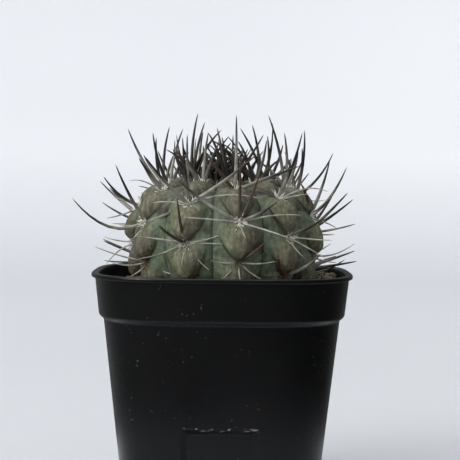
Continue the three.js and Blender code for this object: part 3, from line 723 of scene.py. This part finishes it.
# %% Tips of the front spines
FRONT_SPINES = {
    "0.0": [(-5.5, -5, 3, 0), (0.5, -5.5, 4, 0), (7.5, -5, 3, 0), (12.5, 1, 2, 0), (-9.5, 1, 2, 0),
            (8.5, 7.5, 7, 0)],
    "0.1": [(-19, 1.5, 3, 1), (-20.5, 14, 9, 0), (0, 19.5, 5, 0), (6.5, 16.5, 6, 0), (16.5, -5, 3, 1),
            (20.5, 2.5, 2, 2), (12.5, 7, 2, 0), (2, -5, 4, 0)],
    "0.2": [(0, 25, 2, 0), (-9, 10.5, 5, 0), (21.4, 8, 3, 0.8)],
    "0.3": [(11.7, 17.4, 0, -0.5), (-4.5, 19.8, -6, 0), (-7.4, 17.6, 2, 1.5), (2, 13, 4, 0)],
    "1.0": [(-9, 0.5, 2, 0), (6, 0.5, 3, 0)],
    "1.1": [(-16.5, 2.5, 3, 1), (-15.5, -5, 3, 0), (-1, -7.5, 4, 0), (8.5, -8.5, 4, 0), (15, 0, 3, 1),
            (18, 6, 3, 0), (-8.5, 6.5, 9, 0), (-2.5, 16, 8, -1.5)],
    "1.2": [(-14, 15, 8, 0), (23, 17, 9, 0), (-2.2, 22, 4, 0), (-0.7, 23, 2, 0), (25, 1.5, 3, 3),
            (-12, 0, 3, 1)],
    "1.3": [(1.8, 17.4, 0, 0), (5.5, 14, 3, 0), (-9, 11, 3, 1)],
    "1.4": [(-17, 13.4, 3, 1), (3, 16, 0, 0), (9, 10, 3, 1)],
    "2.0": [(-18.2, 5.6, 0, 0.3), (11.5, -3.5, 8, 0), (-5.5, -4.5, 1, 0), (-12.3, 0.3, 1, -0.5)],
    "2.1": [(-10, 20, 3, 0), (15.5, 6.5, 11, 1), (7, -5, 6, 0), (-9, -0.5, 0, 0), (-5, -6, 1, 0),
            (-24.5, 8.7, 4, -4.2)],
    "2.2": [(-12.4, 21, 1, 0), (-8.5, 11, 3, 0.5), (4.5, -4, 7, 0), (-12, 3, 0, 2)],
    "2.3": [(4, 21.6, 0, 0), (1.4, 25, -8, 0), (-7, 12, 3, 0.5)],
    "3.0": [(-10, -8.2, 1, 2.5), (-11, 2, 0, 0)],
    "3.1": [(-9.7, 2.8, 1, 1), (-12.8, 10.3, 2, -1), (-12, -4.5, 0, 0)],
    "3.2": [(4.7, 20.5, -2, 0), (-5.9, 19, 0, 0), (-9, 11, 2, 0), (7, 12, 3, 0.5)],
    "8.3": [(0.3, 17, 0, 0), (-9.5, 19.6, 0, 0), (6, 14, -2, 0), (9, 9, 0, 0)],
    "9.0": [(9, -2, 0, 0), (7, 5, 1, 0), (15.2, 4.9, 0, -1.2)],
    "9.1": [(12, 17.7, 1, -1.5), (8.8, -3.8, 1, 1), (-4.3, 11.6, 6, 2), (6, 6.5, 3, 0), (6, 19.7, 1, 0)],
    "9.2": [(-6.6, 25.4, 0, 0), (-0.7, 19.5, -5, 0), (4, 13, 1, 0), (-10, 9, 3, 1)],
    "10.0": [(13, 7.8, 0, -0.8), (-8, 1, 6, 0), (-2, 6.5, 6, 0)],
    "10.1": [(-7, 10, 8, 0.5), (12.5, 7, 4, 0), (15, -1, 2, 0.5), (5, -6.6, 4, 0), (13, -7.5, 1, 1)],
    "10.2": [(7.6, 22.2, 3, 0), (4, 13, 4, 0), (17, 2, 1, 3), (10.5, 1.5, 3, 0.6), (-15.5, 1, 6, 2)],
    "10.3": [(-5.9, 14.4, 2, 1), (4, 15, 1, 0), (8, 8, 4, 1)],
}

# %% Kinds of spine on the other areoles
MAIN_KINDS = [(0, 34, 23, 1), (-34, 52, 20, 1), (36, 50, 21, 1), (-84, 78, 16, 1), (86, 78, 15, 1)]
CROWN_KINDS = [(150, 34, 17, 0), (-60, 46, 19, 0), (70, 58, 16, 0), (-150, 52, 15, 0)]
FLANK_KINDS = [(-128, 80, 12, 0), (130, 80, 12, 0), (180, 76, 10, 0), (-8, 14, 20, 0)]
TURN_SPREAD = 24
LEAN_SPREAD = 14
LENGTH_SPREAD = 0.3
WILD = 2.2
CURL = 0.07
FRONT_CURL = 0.05
YOUNG_ARC = 22
FEW_ARC = 16
FEW_SPINES = 3
YOUNG_LEAN = 0.45
YOUNG_LENGTH = 0.75

drawn = 20


def spread():
    """A repeatable random number from -0.5 to 0.5, the same sequence that placed the CAD spines."""
    global drawn
    drawn = drawn * 16807 % 2147483647
    return drawn / 2147483647 - 0.5


def tip_of(areole, kind, draws):
    """Where a kind of spine ends on an areole: young ones are shorter and more upright."""
    turn, lean, length = kind[:3]
    young = float(smooth_step(areole["arc"] / YOUNG_ARC))
    turn = math.radians(turn + TURN_SPREAD * draws[0])
    lean = math.radians(lean + LEAN_SPREAD * draws[1]) * (YOUNG_LEAN + (1 - YOUNG_LEAN) * young)
    reach = length * (1 + LENGTH_SPREAD * draws[2]) * (YOUNG_LENGTH + (1 - YOUNG_LENGTH) * young)
    flat = math.cos(turn) * areole["up"] + math.sin(turn) * areole["side"]
    return areole["point"] + reach * (math.cos(lean) * areole["normal"] + math.sin(lean) * flat)


# %% Spines that keep clear of the pot and the soil
SPINE_CLEARANCE = 0.9
STOUT_LEAN = 64
STOUT_RISE = 6
STOUT_RADIUS = 0.7
SLIM_RADIUS = 0.36
AREOLE_RADIUS = 1.3
SPINE_ROOT = 1.2
TIP_STEP = 0.5
MOST_STEPS = 40

path_part = np.linspace(0, 1, 11)[:, None]


def spine_path(foot, tip, bow, part):
    """A quadratic curve from foot to tip, with its middle moved by the bow, a vector."""
    middle = (foot + tip) / 2 + 2 * bow
    return (1 - part) ** 2 * foot + 2 * part * (1 - part) * middle + part**2 * tip


def is_clear(path):
    """Whether all points are above the rim, or inside the wall and above the soil."""
    x, y, z = path.T
    half = np.hypot(x, y) / square_factor(np.arctan2(y, x))
    inside = (half < BAND_FOOT[0] - WALL - SPINE_CLEARANCE) & (z > soil_height(x, y) + SPINE_CLEARANCE)
    return bool(((z > POT_HEIGHT + SPINE_CLEARANCE) | inside).all())


spines = []


def grow(areole, tip, bow, share=1.0, curl=0.0, stout=None, dark=0.0):
    """Adds a spine, its tip raised by small steps until it is clear.

    It bows upwards, and curls towards the crown by a share of its length. Unless it is told, it is
    stout if it leans little from the areole's axis."""
    bow = np.array([0, 0, bow]) - curl * np.linalg.norm(tip - areole["point"]) * areole["up"]
    direction = (tip - areole["point"]) / np.linalg.norm(tip - areole["point"])
    outward = direction @ areole["normal"]
    foot = areole["point"] + AREOLE_RADIUS * share * (direction - outward * areole["normal"])
    steps = 0
    while steps < MOST_STEPS and not is_clear(spine_path(foot, tip, bow, path_part)):
        tip = tip + np.array([0, 0, TIP_STEP])
        steps += 1
    if stout is None:
        stout = math.degrees(math.acos(outward)) < STOUT_LEAN
    radius = share * (STOUT_RADIUS if stout else SLIM_RADIUS)
    spines.append((foot, tip, bow, radius, areole["normal"], areole["arc"], stout, dark))


more = np.random.default_rng(8)
for areole in areoles:
    table = FRONT_SPINES.get(areole["key"])
    few = areole["arc"] < FEW_ARC
    if table:
        for right, rise_up, forward, bow in table:
            tip = areole["point"] + np.array([right, -forward, rise_up])
            brown = 5 <= forward <= 9 and rise_up > 0 and math.hypot(right, rise_up) < 20
            grow(areole, tip, bow, 1.0, FRONT_CURL, rise_up > STOUT_RISE, float(brown))
    else:
        for kind in MAIN_KINDS[:FEW_SPINES if few else None]:
            grow(areole, tip_of(areole, kind, [spread(), spread(), spread()]), kind[3], 1.0, CURL)
    if few:
        extra = CROWN_KINDS
    else:
        extra = () if table else FLANK_KINDS
    for kind in extra:
        draws = WILD * more.uniform(-0.5, 0.5, 3) * (1, 1, 0.6)
        grow(areole, tip_of(areole, kind, draws), 0, more.uniform(0.6, 0.95), CURL * more.uniform(0.3, 2.2))
print(len(spines), "spines")

# %% Every spine's tube in one array
SPINE_SIDES = 7
SPINE_RINGS = 9


def tubes(name, spines, sides, rings, **attributes):
    """Tapered tubes: each ring lies across its path, with a radius that shrinks as (1 - t)^0.45.

    The root is sunk along the areole's axis, and the path then bends to the spine's own way."""
    foot, tip = (np.stack([s[k] for s in spines])[:, None, :] for k in (0, 1))
    bow, radius = (np.array([s[k] for s in spines]) for k in (2, 3))
    inward = -np.stack([s[4] for s in spines])[:, None, :]
    part = 1 - (1 - np.linspace(0, 1, rings)[None, :, None]) ** 1.4
    path = spine_path(foot, tip, bow[:, None], part)
    path = np.concatenate([foot + SPINE_ROOT * inward, path], 1)
    along = np.gradient(path, axis=1)
    along /= np.linalg.norm(along, axis=2, keepdims=True)
    across = np.cross(along, np.array([0.13, 0.21, 1.0]))
    across /= np.linalg.norm(across, axis=2, keepdims=True)
    over = np.cross(along, across)
    taper = np.concatenate([[1.0], np.maximum(1 - part[0, :, 0], 0) ** 0.45])
    taper[-1] = 0.0
    size = radius[:, None] * taper[None, :]
    turn = (np.arange(sides) * 2 * np.pi / sides)[None, None, :, None]
    ring = np.cos(turn) * across[:, :, None] + np.sin(turn) * over[:, :, None]
    points = path[:, :, None] + size[:, :, None, None] * ring
    body = points[:, :-1].reshape(len(spines), -1, 3)
    block = np.concatenate([body, path[:, :1], path[:, -1:]], 1)
    _, quads, caps = closed_grid(np.zeros((rings, sides, 3)), (0, 0, 0), (0, 0, 0))
    jump = block.shape[1] * np.arange(len(spines))[:, None, None]
    t = np.concatenate([np.repeat(np.concatenate([[0], part[0, :-1, 0]]), sides), [0, 1]])
    return new_piece(
        name, block.reshape(-1, 3), (quads[None] + jump).reshape(-1, 4), (caps[None] + jump).reshape(-1, 3),
        along=np.tile(t, len(spines)),
        **{key: np.repeat(values, block.shape[1]) for key, values in attributes.items()},
    )


spine_arc = np.array([s[5] for s in spines])
cactus_spines = tubes(
    "cactus_spines", spines, SPINE_SIDES, SPINE_RINGS,
    age=smooth_step((spine_arc - 15) / 10),
    tint=more.random(len(spines)),
    stout=np.array([float(s[6]) for s in spines]),
    dark=np.array([s[7] for s in spines]),
)
stands_for(cactus_spines, "cactus")

# %% [markdown]
# ## Wool of the areoles
#
# Each areole is a small oval of felt, cream when young and brown when old. A blob would look like
# clay, so the felt is short fibres: a low pad, and a tuft of thin curved tubes that stand out of it.

# %% Felt fibres
FIBRES = 60
FIBRE_RADIUS = 0.15
PAD_WIDE = 1.25
PAD_TALL = 1.7
FIBRE_LENGTHS = (0.9, 2.5)

fibres = []
fibre_level = []
for areole in areoles:
    grown = 0.6 + 0.4 * min(areole["arc"] / 30, 1)
    turn = more.uniform(0, 2 * np.pi, FIBRES)
    place = np.sqrt(more.random(FIBRES))
    right = grown * PAD_WIDE * place * np.cos(turn)
    rise_up = grown * PAD_TALL * place * np.sin(turn)
    length = more.uniform(*FIBRE_LENGTHS, FIBRES)
    for i in range(FIBRES):
        foot = areole["point"] + right[i] * areole["side"] + rise_up[i] * areole["up"]
        lean = right[i] * areole["side"] + rise_up[i] * areole["up"] + more.normal(size=3) * 0.5
        tip = foot + length[i] * (0.8 * areole["normal"] + 0.55 * lean)
        fibres.append((foot, tip, more.uniform(-0.2, 0.2, 3), FIBRE_RADIUS, areole["normal"]))
        fibre_level.append(areole["point"][2])
areole_wool = tubes(
    "areole_wool", fibres, 4, 4,
    age=smooth_step((POT_HEIGHT + 16 - np.array(fibre_level)) / 14),
    tint=more.random(len(fibres)),
)
stands_for(areole_wool, "cactus")

# %% [markdown]
# ## Building materials in code
#
# A material is a small graph of nodes. Written out one call at a time it gets long, so a few helpers
# add the nodes. A socket knows the graph that it belongs to, so most of them only need the sockets.

# %% Node helpers
def fill(socket, value):
    """Links an output to a socket, or sets the socket's own value. A colour gets full alpha."""
    if isinstance(value, bpy.types.NodeSocket):
        socket.id_data.links.new(value, socket)
    else:
        socket.default_value = (*value, 1.0) if socket.type == "RGBA" else value


def node(tree, kind, settings=(), **sockets):
    """Adds a node, sets its own settings, and fills each named socket with a value or a link."""
    made = tree.nodes.new(kind)
    for key, value in dict(settings).items():
        setattr(made, key, value)
    for key, value in sockets.items():
        fill(made.inputs[key.replace("_", " ")], value)
    return made


def blend(share, first, second):
    """The colour that is first where the share is 0 and second where it is 1."""
    made = node(share.id_data, "ShaderNodeMix", {"data_type": "RGBA"})
    for number, value in ((0, share), (6, first), (7, second)):
        fill(made.inputs[number], value)
    return made.outputs[2]


def ranged(value, low, high, to_low=0.0, to_high=1.0):
    """A value moved from one range to another, without going past its ends."""
    ends = {"From_Min": low, "From_Max": high, "To_Min": to_low, "To_Max": to_high}
    return node(value.id_data, "ShaderNodeMapRange", {"clamp": True}, Value=value, **ends).outputs[0]


def worked(way, first, second=0.0):
    """Sum, product or other arithmetic of two values."""
    made = node(first.id_data, "ShaderNodeMath", {"operation": way})
    fill(made.inputs[0], first)
    fill(made.inputs[1], second)
    return made.outputs[0]


def times(first, second):
    """The product of two values, which is where both masks hold."""
    return worked("MULTIPLY", first, second)


def new_finish(name, piece):
    """A node material on a piece: its graph, its Principled shader and its coordinates."""
    finish = bpy.data.materials.new(name)
    finish.use_nodes = True
    piece.data.materials.clear()
    piece.data.materials.append(finish)
    tree = finish.node_tree
    shader = next(n for n in tree.nodes if n.type == "BSDF_PRINCIPLED")
    place = tree.nodes.new("ShaderNodeTexCoord").outputs["Object"]
    return tree, shader, place


def from_mesh(tree, *names):
    """The values of attributes that the mesh carries."""
    return [node(tree, "ShaderNodeAttribute", {"attribute_name": name}).outputs["Fac"] for name in names]


# %% [markdown]
# Two effects come back in several finishes: a fine uneven grain, and specks of dust. Each is a node
# group with named sockets, built once and placed with its own sizes.

# %% Grain and specks as node groups
def new_group(name, inputs, output):
    """An empty node group with float inputs, a vector called Place and one float output."""
    group = bpy.data.node_groups.new(name, "ShaderNodeTree")
    group.interface.new_socket("Place", in_out="INPUT", socket_type="NodeSocketVector")
    for key in inputs:
        group.interface.new_socket(key, in_out="INPUT", socket_type="NodeSocketFloat")
    group.interface.new_socket(output, in_out="OUTPUT", socket_type="NodeSocketFloat")
    given = group.nodes.new("NodeGroupInput").outputs
    result = group.nodes.new("NodeGroupOutput").inputs[0]
    return group, given, given["Place"], result


grain_group, given, place, result = new_group("fine_grain", ["Scale", "Detail"], "Grain")
cloud = node(grain_group, "ShaderNodeTexNoise", Vector=place, Scale=given["Scale"], Detail=given["Detail"])
fill(result, cloud.outputs["Fac"])

speck_group, given, place, result = new_group("dust_specks", ["Scale", "Size"], "Mask")
cells = node(speck_group, "ShaderNodeTexVoronoi", Vector=place, Scale=given["Scale"])
patch = node(speck_group, "ShaderNodeTexNoise", Vector=place, Scale=90.0, Detail=3.0)
reach = times(given["Size"], ranged(patch.outputs["Fac"], 0.5, 0.75))
fill(result, worked("LESS_THAN", cells.outputs["Distance"], reach))


def effect(group, place, **values):
    """Places a node group in a material and gives its one output."""
    made = node(place.id_data, "ShaderNodeGroup", {"node_tree": group}, Place=place, **values)
    return made.outputs[0]


def grain(place, scale, detail):
    """The fine grain at a scale, which is how many of its waves go into a metre."""
    return effect(grain_group, place, Scale=scale, Detail=detail)


def bump(shader, height, strength, distance):
    """Feeds a height through a Bump node into the shader's normal."""
    made = node(shader.id_data, "ShaderNodeBump", Height=height, Strength=strength, Distance=distance)
    fill(shader.inputs["Normal"], made.outputs["Normal"])


# %% [markdown]
# ## Finishes
#
# The pot is black plastic with a satin skin. Its colour hardly varies, so its roughness has to:
# soft clouds, a trace of dust, and pale scuffs along the top edge of the panel.

# %% Black plastic
PLASTIC = ((0.0011, 0.0012, 0.0015), (0.0028, 0.003, 0.0035))
DUST = (0.09, 0.09, 0.086)
SCUFF = (0.3, 0.29, 0.26)
SCUFF_HEIGHT = (PANEL_TOP - 0.2) * MM

tree, shader, place = new_finish("pot_plastic", pot_shell)
x, y, z = node(tree, "ShaderNodeSeparateXYZ", Vector=place).outputs
cloudy = grain(place, 28.0, 4.0)
specks = effect(speck_group, place, Scale=560.0, Size=0.3)
off_middle = worked("MINIMUM", worked("ABSOLUTE", x), worked("ABSOLUTE", y))
off_panel = ranged(off_middle, 0.0125, 0.0135, 0.0, 0.01)
off_edge = worked("ADD", worked("ABSOLUTE", worked("SUBTRACT", z, SCUFF_HEIGHT)), off_panel)
chips = ranged(grain(place, 650.0, 3.0), 0.56, 0.62)
scuffed = times(ranged(off_edge, 0.0009, 0.0), chips)
dusty = blend(times(specks, 0.5), blend(cloudy, *PLASTIC), DUST)
fill(shader.inputs["Base Color"], blend(scuffed, dusty, SCUFF))
fill(shader.inputs["Roughness"], ranged(cloudy, 0.3, 0.7, 0.24, 0.38))
shader.inputs["Specular IOR Level"].default_value = 0.3
bump(shader, grain(place, 900.0, 2.0), 0.12, 0.0002)

# %% [markdown]
# Skin is waxy and matt. Its colour follows the tubercle: green on the flanks, olive brown down the
# chin with painted shade on its right side, a painted shadow along the rim under its point, painted
# shade in the furrows, and browner towards the crown. It could be painted on an image, but the
# relief's own attributes keep colour and shape together. Broad colours come first.

# %% Waxy skin: broad colours
FLANK_GREENS = ((0.077, 0.114, 0.066), (0.118, 0.15, 0.093))
GREY_GREEN = (0.16, 0.18, 0.12)
CHIN_BROWN_AND_SHADE = ((0.15, 0.152, 0.08), (0.092, 0.066, 0.046))
CROWN_BROWN = (0.072, 0.066, 0.046)
SPECULAR_OF_WAX = 0.35

tree, shader, place = new_finish("cactus_skin", cactus_stem)
chin, down, aside, furrow, age = from_mesh(tree, "chin", "down", "aside", "furrow", "age")
mottle = grain(place, 160.0, 5.0)
broad = ranged(grain(place, 45.0, 3.0), 0.35, 0.65)
green = blend(broad, *FLANK_GREENS)
green = blend(ranged(mottle, 0.45, 0.7), green, GREY_GREEN)
chin_edge = worked("ADD", chin, ranged(mottle, 0.3, 0.7, -0.1, 0.1))
chin_share = ranged(chin_edge, 0.12, 0.5, 0.0, 0.85)
# Browner towards each chin's point, which is its own olive brown, and darker on the right side of every
# chin, which is painted shade.
brown_and_shade = worked("ADD", broad, ranged(aside, -0.3, 0.3, -0.5, 0.6))
brown_and_shade = worked("ADD", brown_and_shade, ranged(down, 0.35, 0.9, -0.2, 0.55))
skin_colour = blend(chin_share, green, blend(brown_and_shade, *CHIN_BROWN_AND_SHADE))
skin_colour = blend(ranged(age, 0.65, 0.35, 0.0, 0.75), skin_colour, CROWN_BROWN)

# %% [markdown]
# Then come the fine marks, each a mask and a colour: pale and dark streaks that run down the chins,
# pale and dark flecks, a painted shadow along the rim under each chin, and painted shade in the
# furrows.

# %% Waxy skin: marks and relief
PALE_STREAK = (0.25, 0.25, 0.18)
DARK_STREAK = (0.035, 0.045, 0.026)
PALE_FLECK = (0.27, 0.28, 0.21)
DARK_FLECK = (0.04, 0.05, 0.03)
# Painted shade: a dark shadow along the rim under each chin, and dark furrows.
CHIN_RIM_SHADOW = (0.022, 0.017, 0.012)
FURROW_SHADE = (0.018, 0.022, 0.014)

streak_place = node(tree, "ShaderNodeMapping", Vector=place, Scale=(1.0, 1.0, 0.18)).outputs[0]
streaks = grain(streak_place, 900.0, 3.0)
streak_most = ranged(chin_share, 0.0, 0.85, 0.16, 0.42)
flecks = grain(place, 750.0, 5.0)
rim = times(ranged(chin_edge, -0.02, 0.05), ranged(chin_edge, 0.3, 0.1))
for mask, colour in (
    (times(ranged(streaks, 0.52, 0.66), streak_most), PALE_STREAK),
    (ranged(flecks, 0.5, 0.32, 0.0, 0.55), DARK_FLECK),
    (ranged(flecks, 0.56, 0.7, 0.0, 0.3), PALE_FLECK),
    (times(ranged(streaks, 0.48, 0.36), streak_most), DARK_STREAK),
    # the last two marks are painted shadow under each chin's rim and painted shade in the furrows
    (times(rim, ranged(down, 0.4, 0.7, 0.0, 0.8)), CHIN_RIM_SHADOW),
    (ranged(furrow, 0.5, 1.0, 0.0, 0.85), FURROW_SHADE),
):
    skin_colour = blend(mask, skin_colour, colour)
fill(shader.inputs["Base Color"], skin_colour)
fill(shader.inputs["Roughness"], ranged(mottle, 0.3, 0.7, 0.55, 0.72))
shader.inputs["Specular IOR Level"].default_value = SPECULAR_OF_WAX
wrinkles = times(grain(place, 1100.0, 4.0), 0.6)
relief_height = worked("ADD", times(streaks, 0.5), wrinkles)
bump(shader, worked("ADD", mottle, relief_height), 0.55, 0.0009)

# %% [markdown]
# A spine is grey and horny. The centrals keep dark tips, young spines near the crown are almost
# black all along, and thin radials are pale.

# %% Horny spines
SLIM_HORN = ((0.28, 0.265, 0.23), (0.5, 0.47, 0.41))
STOUT_HORN = ((0.11, 0.102, 0.083), (0.36, 0.34, 0.29))
BAND_BROWN = (0.1, 0.085, 0.065)
TIP_BROWNS = ((0.01, 0.0095, 0.009), (0.042, 0.032, 0.023))
RUSTY_BROWNS = ((0.04, 0.028, 0.02), (0.075, 0.032, 0.016))

tree, shader, place = new_finish("spine_horn", cactus_spines)
along, tint, stout, age, dark = from_mesh(tree, "along", "tint", "stout", "age", "dark")
banding = grain(place, 350.0, 4.0)
grey = blend(stout, blend(tint, *SLIM_HORN), blend(tint, *STOUT_HORN))
grey = blend(ranged(banding, 0.4, 0.65, 0.0, 0.7), grey, BAND_BROWN)
dark_brown = blend(tint, *TIP_BROWNS)
past_start = worked("SUBTRACT", along, ranged(tint, 0.0, 1.0, 0.25, 0.75))
grown = blend(times(ranged(past_start, -0.15, 0.15), stout), grey, dark_brown)
youth = ranged(worked("ADD", age, times(tint, 0.4)), 0.65, 0.35)
rusty = blend(ranged(along, 0.2, 0.9), *RUSTY_BROWNS)
horn = blend(times(dark, 0.85), blend(youth, grown, dark_brown), rusty)
fill(shader.inputs["Base Color"], horn)
fill(shader.inputs["Roughness"], ranged(banding, 0.3, 0.7, 0.42, 0.62))
bump(shader, banding, 0.3, 0.0003)

# %% Felt of the areoles
YOUNG_FELT = ((0.95, 0.93, 0.88), (0.72, 0.68, 0.6))
OLD_FELT = ((0.22, 0.1, 0.05), (0.12, 0.07, 0.045))

tree, shader, place = new_finish("areole_felt", areole_wool)
along, tint, age = from_mesh(tree, "along", "tint", "age")
fill(shader.inputs["Base Color"], blend(age, blend(tint, *YOUNG_FELT), blend(tint, *OLD_FELT)))
fill(shader.inputs["Roughness"], ranged(along, 0.0, 1.0, 0.8, 0.95))

# %% [markdown]
# Potting mix is peat, bark and pumice. The bed gets the dark peat between the grains, and each
# grain its own tint from dark bark to pale stone.

# %% Peat and grit
PEAT = ((0.03, 0.022, 0.016), (0.12, 0.09, 0.065))
BARK = ((0.05, 0.036, 0.026), (0.2, 0.155, 0.115))
STONE = (0.33, 0.29, 0.24)

tree, shader, place = new_finish("soil_peat", soil_bed)
crumbs = node(tree, "ShaderNodeTexVoronoi", Vector=place, Scale=900.0).outputs["Distance"]
peaty = grain(place, 500.0, 6.0)
fill(shader.inputs["Base Color"], blend(ranged(peaty, 0.35, 0.7), *PEAT))
fill(shader.inputs["Roughness"], ranged(peaty, 0.2, 0.8, 0.85, 1.0))
bump(shader, worked("ADD", crumbs, peaty), 0.8, 0.001)

tree, shader, place = new_finish("soil_grit", soil_grit)
tint = from_mesh(tree, "tint")[0]
mineral = grain(place, 1200.0, 3.0)
bark = blend(ranged(tint, 0.0, 0.6), *BARK)
stone = blend(ranged(tint, 0.7, 1.0), bark, STONE)
fill(shader.inputs["Base Color"], blend(ranged(mineral, 0.4, 0.8, 0.0, 0.5), stone, bark))
fill(shader.inputs["Roughness"], ranged(mineral, 0.2, 0.8, 0.8, 0.95))
bump(shader, mineral, 0.5, 0.0004)

# %% [markdown]
# ## Studio
#
# The plant stands on a pale sweep of paper that curves up all round it. A plain plane would show a
# horizon. The part of the sweep that is further out is kept out of reflections, so that the black
# pot mirrors the lights and the table. The paper's grey gets lighter with distance, with height and
# towards the right, which evens out what the lamps do to it.

# %% The paper sweep
TABLE_REACH = 110
SWEEP = np.array([
    (900, 0), (1100, 0), (1230, 22), (1350, 90), (1440, 200), (1490, 340), (1510, 500), (1520, 2000),
], float)
NEAR_GREYS = ((0.458, 0.47, 0.495), (0.478, 0.49, 0.515))
RIGHT_GREY = (0.54, 0.552, 0.575)
FAR_GREY = (0.552, 0.565, 0.592)
WALL_GREYS = ((0.718, 0.73, 0.752), (0.755, 0.767, 0.787))


def sweep_piece(name, reaches, rises, sides=96):
    """An open disc or bowl of paper: rings at the reaches and rises, round the Z axis."""
    turns = np.pi - np.arange(sides) * 2 * np.pi / sides
    rings = turned(np.array(reaches, float)[:, None], np.array(rises, float)[:, None], turns)
    _, quads, _ = closed_grid(rings, (0, 0, 0), (0, 0, 0))
    piece = new_piece(name, rings.reshape(-1, 3), quads)
    piece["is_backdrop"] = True
    return piece


table_top = sweep_piece("table_top", [0.5, 60, TABLE_REACH], [0, 0, 0])
paper_sweep = sweep_piece("paper_sweep", [TABLE_REACH, 600, *SWEEP[:, 0]], [0, 0, *SWEEP[:, 1]])
paper_sweep.visible_glossy = False
for piece in (table_top, paper_sweep):
    tree, shader, place = new_finish("paper", piece)
    x, y, z = node(tree, "ShaderNodeSeparateXYZ", Vector=place).outputs
    away = node(tree, "ShaderNodeVectorMath", {"operation": "LENGTH"}, Vector=place).outputs["Value"]
    rightward = ranged(x, 0.0, 0.3)
    near = blend(rightward, blend(grain(place, 60.0, 3.0), *NEAR_GREYS), RIGHT_GREY)
    floor_grey = blend(ranged(away, 0.4, 1.1), near, FAR_GREY)
    wall_grey = blend(rightward, *WALL_GREYS)
    fill(shader.inputs["Base Color"], blend(ranged(z, -0.02, 0.14), floor_grey, wall_grey))
    shader.inputs["Roughness"].default_value = 0.9
    shader.inputs["Specular IOR Level"].default_value = 0.1


# %% [markdown]
# Two large soft lamps light the plant, from above and from the left, and a third washes the paper
# behind it. The sky is the faint light from everywhere. It is dimmer on the right, which leaves that
# side of the pot dark.

# %% Lights
def soft_box(name, place, target, width, depth, power, colour):
    """A rectangular lamp that faces a target, out of the camera's sight."""
    lamp = bpy.data.objects.new(name, bpy.data.lights.new(name, "AREA"))
    bpy.context.scene.collection.objects.link(lamp)
    lamp.data.shape = "RECTANGLE"
    lamp.data.size = width
    lamp.data.size_y = depth
    lamp.data.energy = power
    lamp.data.color = colour
    lamp.location = place
    lamp.rotation_euler = (Vector(target) - Vector(place)).to_track_quat("-Z", "Y").to_euler()
    lamp.visible_camera = False


soft_box("overhead", (-0.4, 0.0, 1.45), (0, 0, 0), 1.2, 1.2, 13, (1.0, 1.0, 0.99))
soft_box("left_window", (-0.9, -0.8, 0.8), (0, 0, 0.1), 0.8, 0.8, 13.5, (1.0, 1.0, 0.99))
soft_box("sweep_wash", (0.1, 0.5, 1.7), (0.1, 1.5, 0.35), 1.8, 0.4, 10.5, (0.98, 0.99, 1.0))

bpy.context.scene.world = bpy.data.worlds.new("sky")
bpy.context.scene.world.use_nodes = True
sky = bpy.context.scene.world.node_tree
background = next(n for n in sky.nodes if n.type == "BACKGROUND")
direction = sky.nodes.new("ShaderNodeTexCoord").outputs["Generated"]
rightward = node(sky, "ShaderNodeSeparateXYZ", Vector=direction).outputs["X"]
fill(background.inputs["Color"], (0.96, 0.98, 1.0))
fill(background.inputs["Strength"], ranged(rightward, -0.2, 0.7, 0.22, 0.07))

# %% [markdown]
# ## Size
#
# The box round the finer pieces, without the paper, is printed.

# %% The visual box
low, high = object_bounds()
print("visual box from", tuple(low), "to", tuple(high))
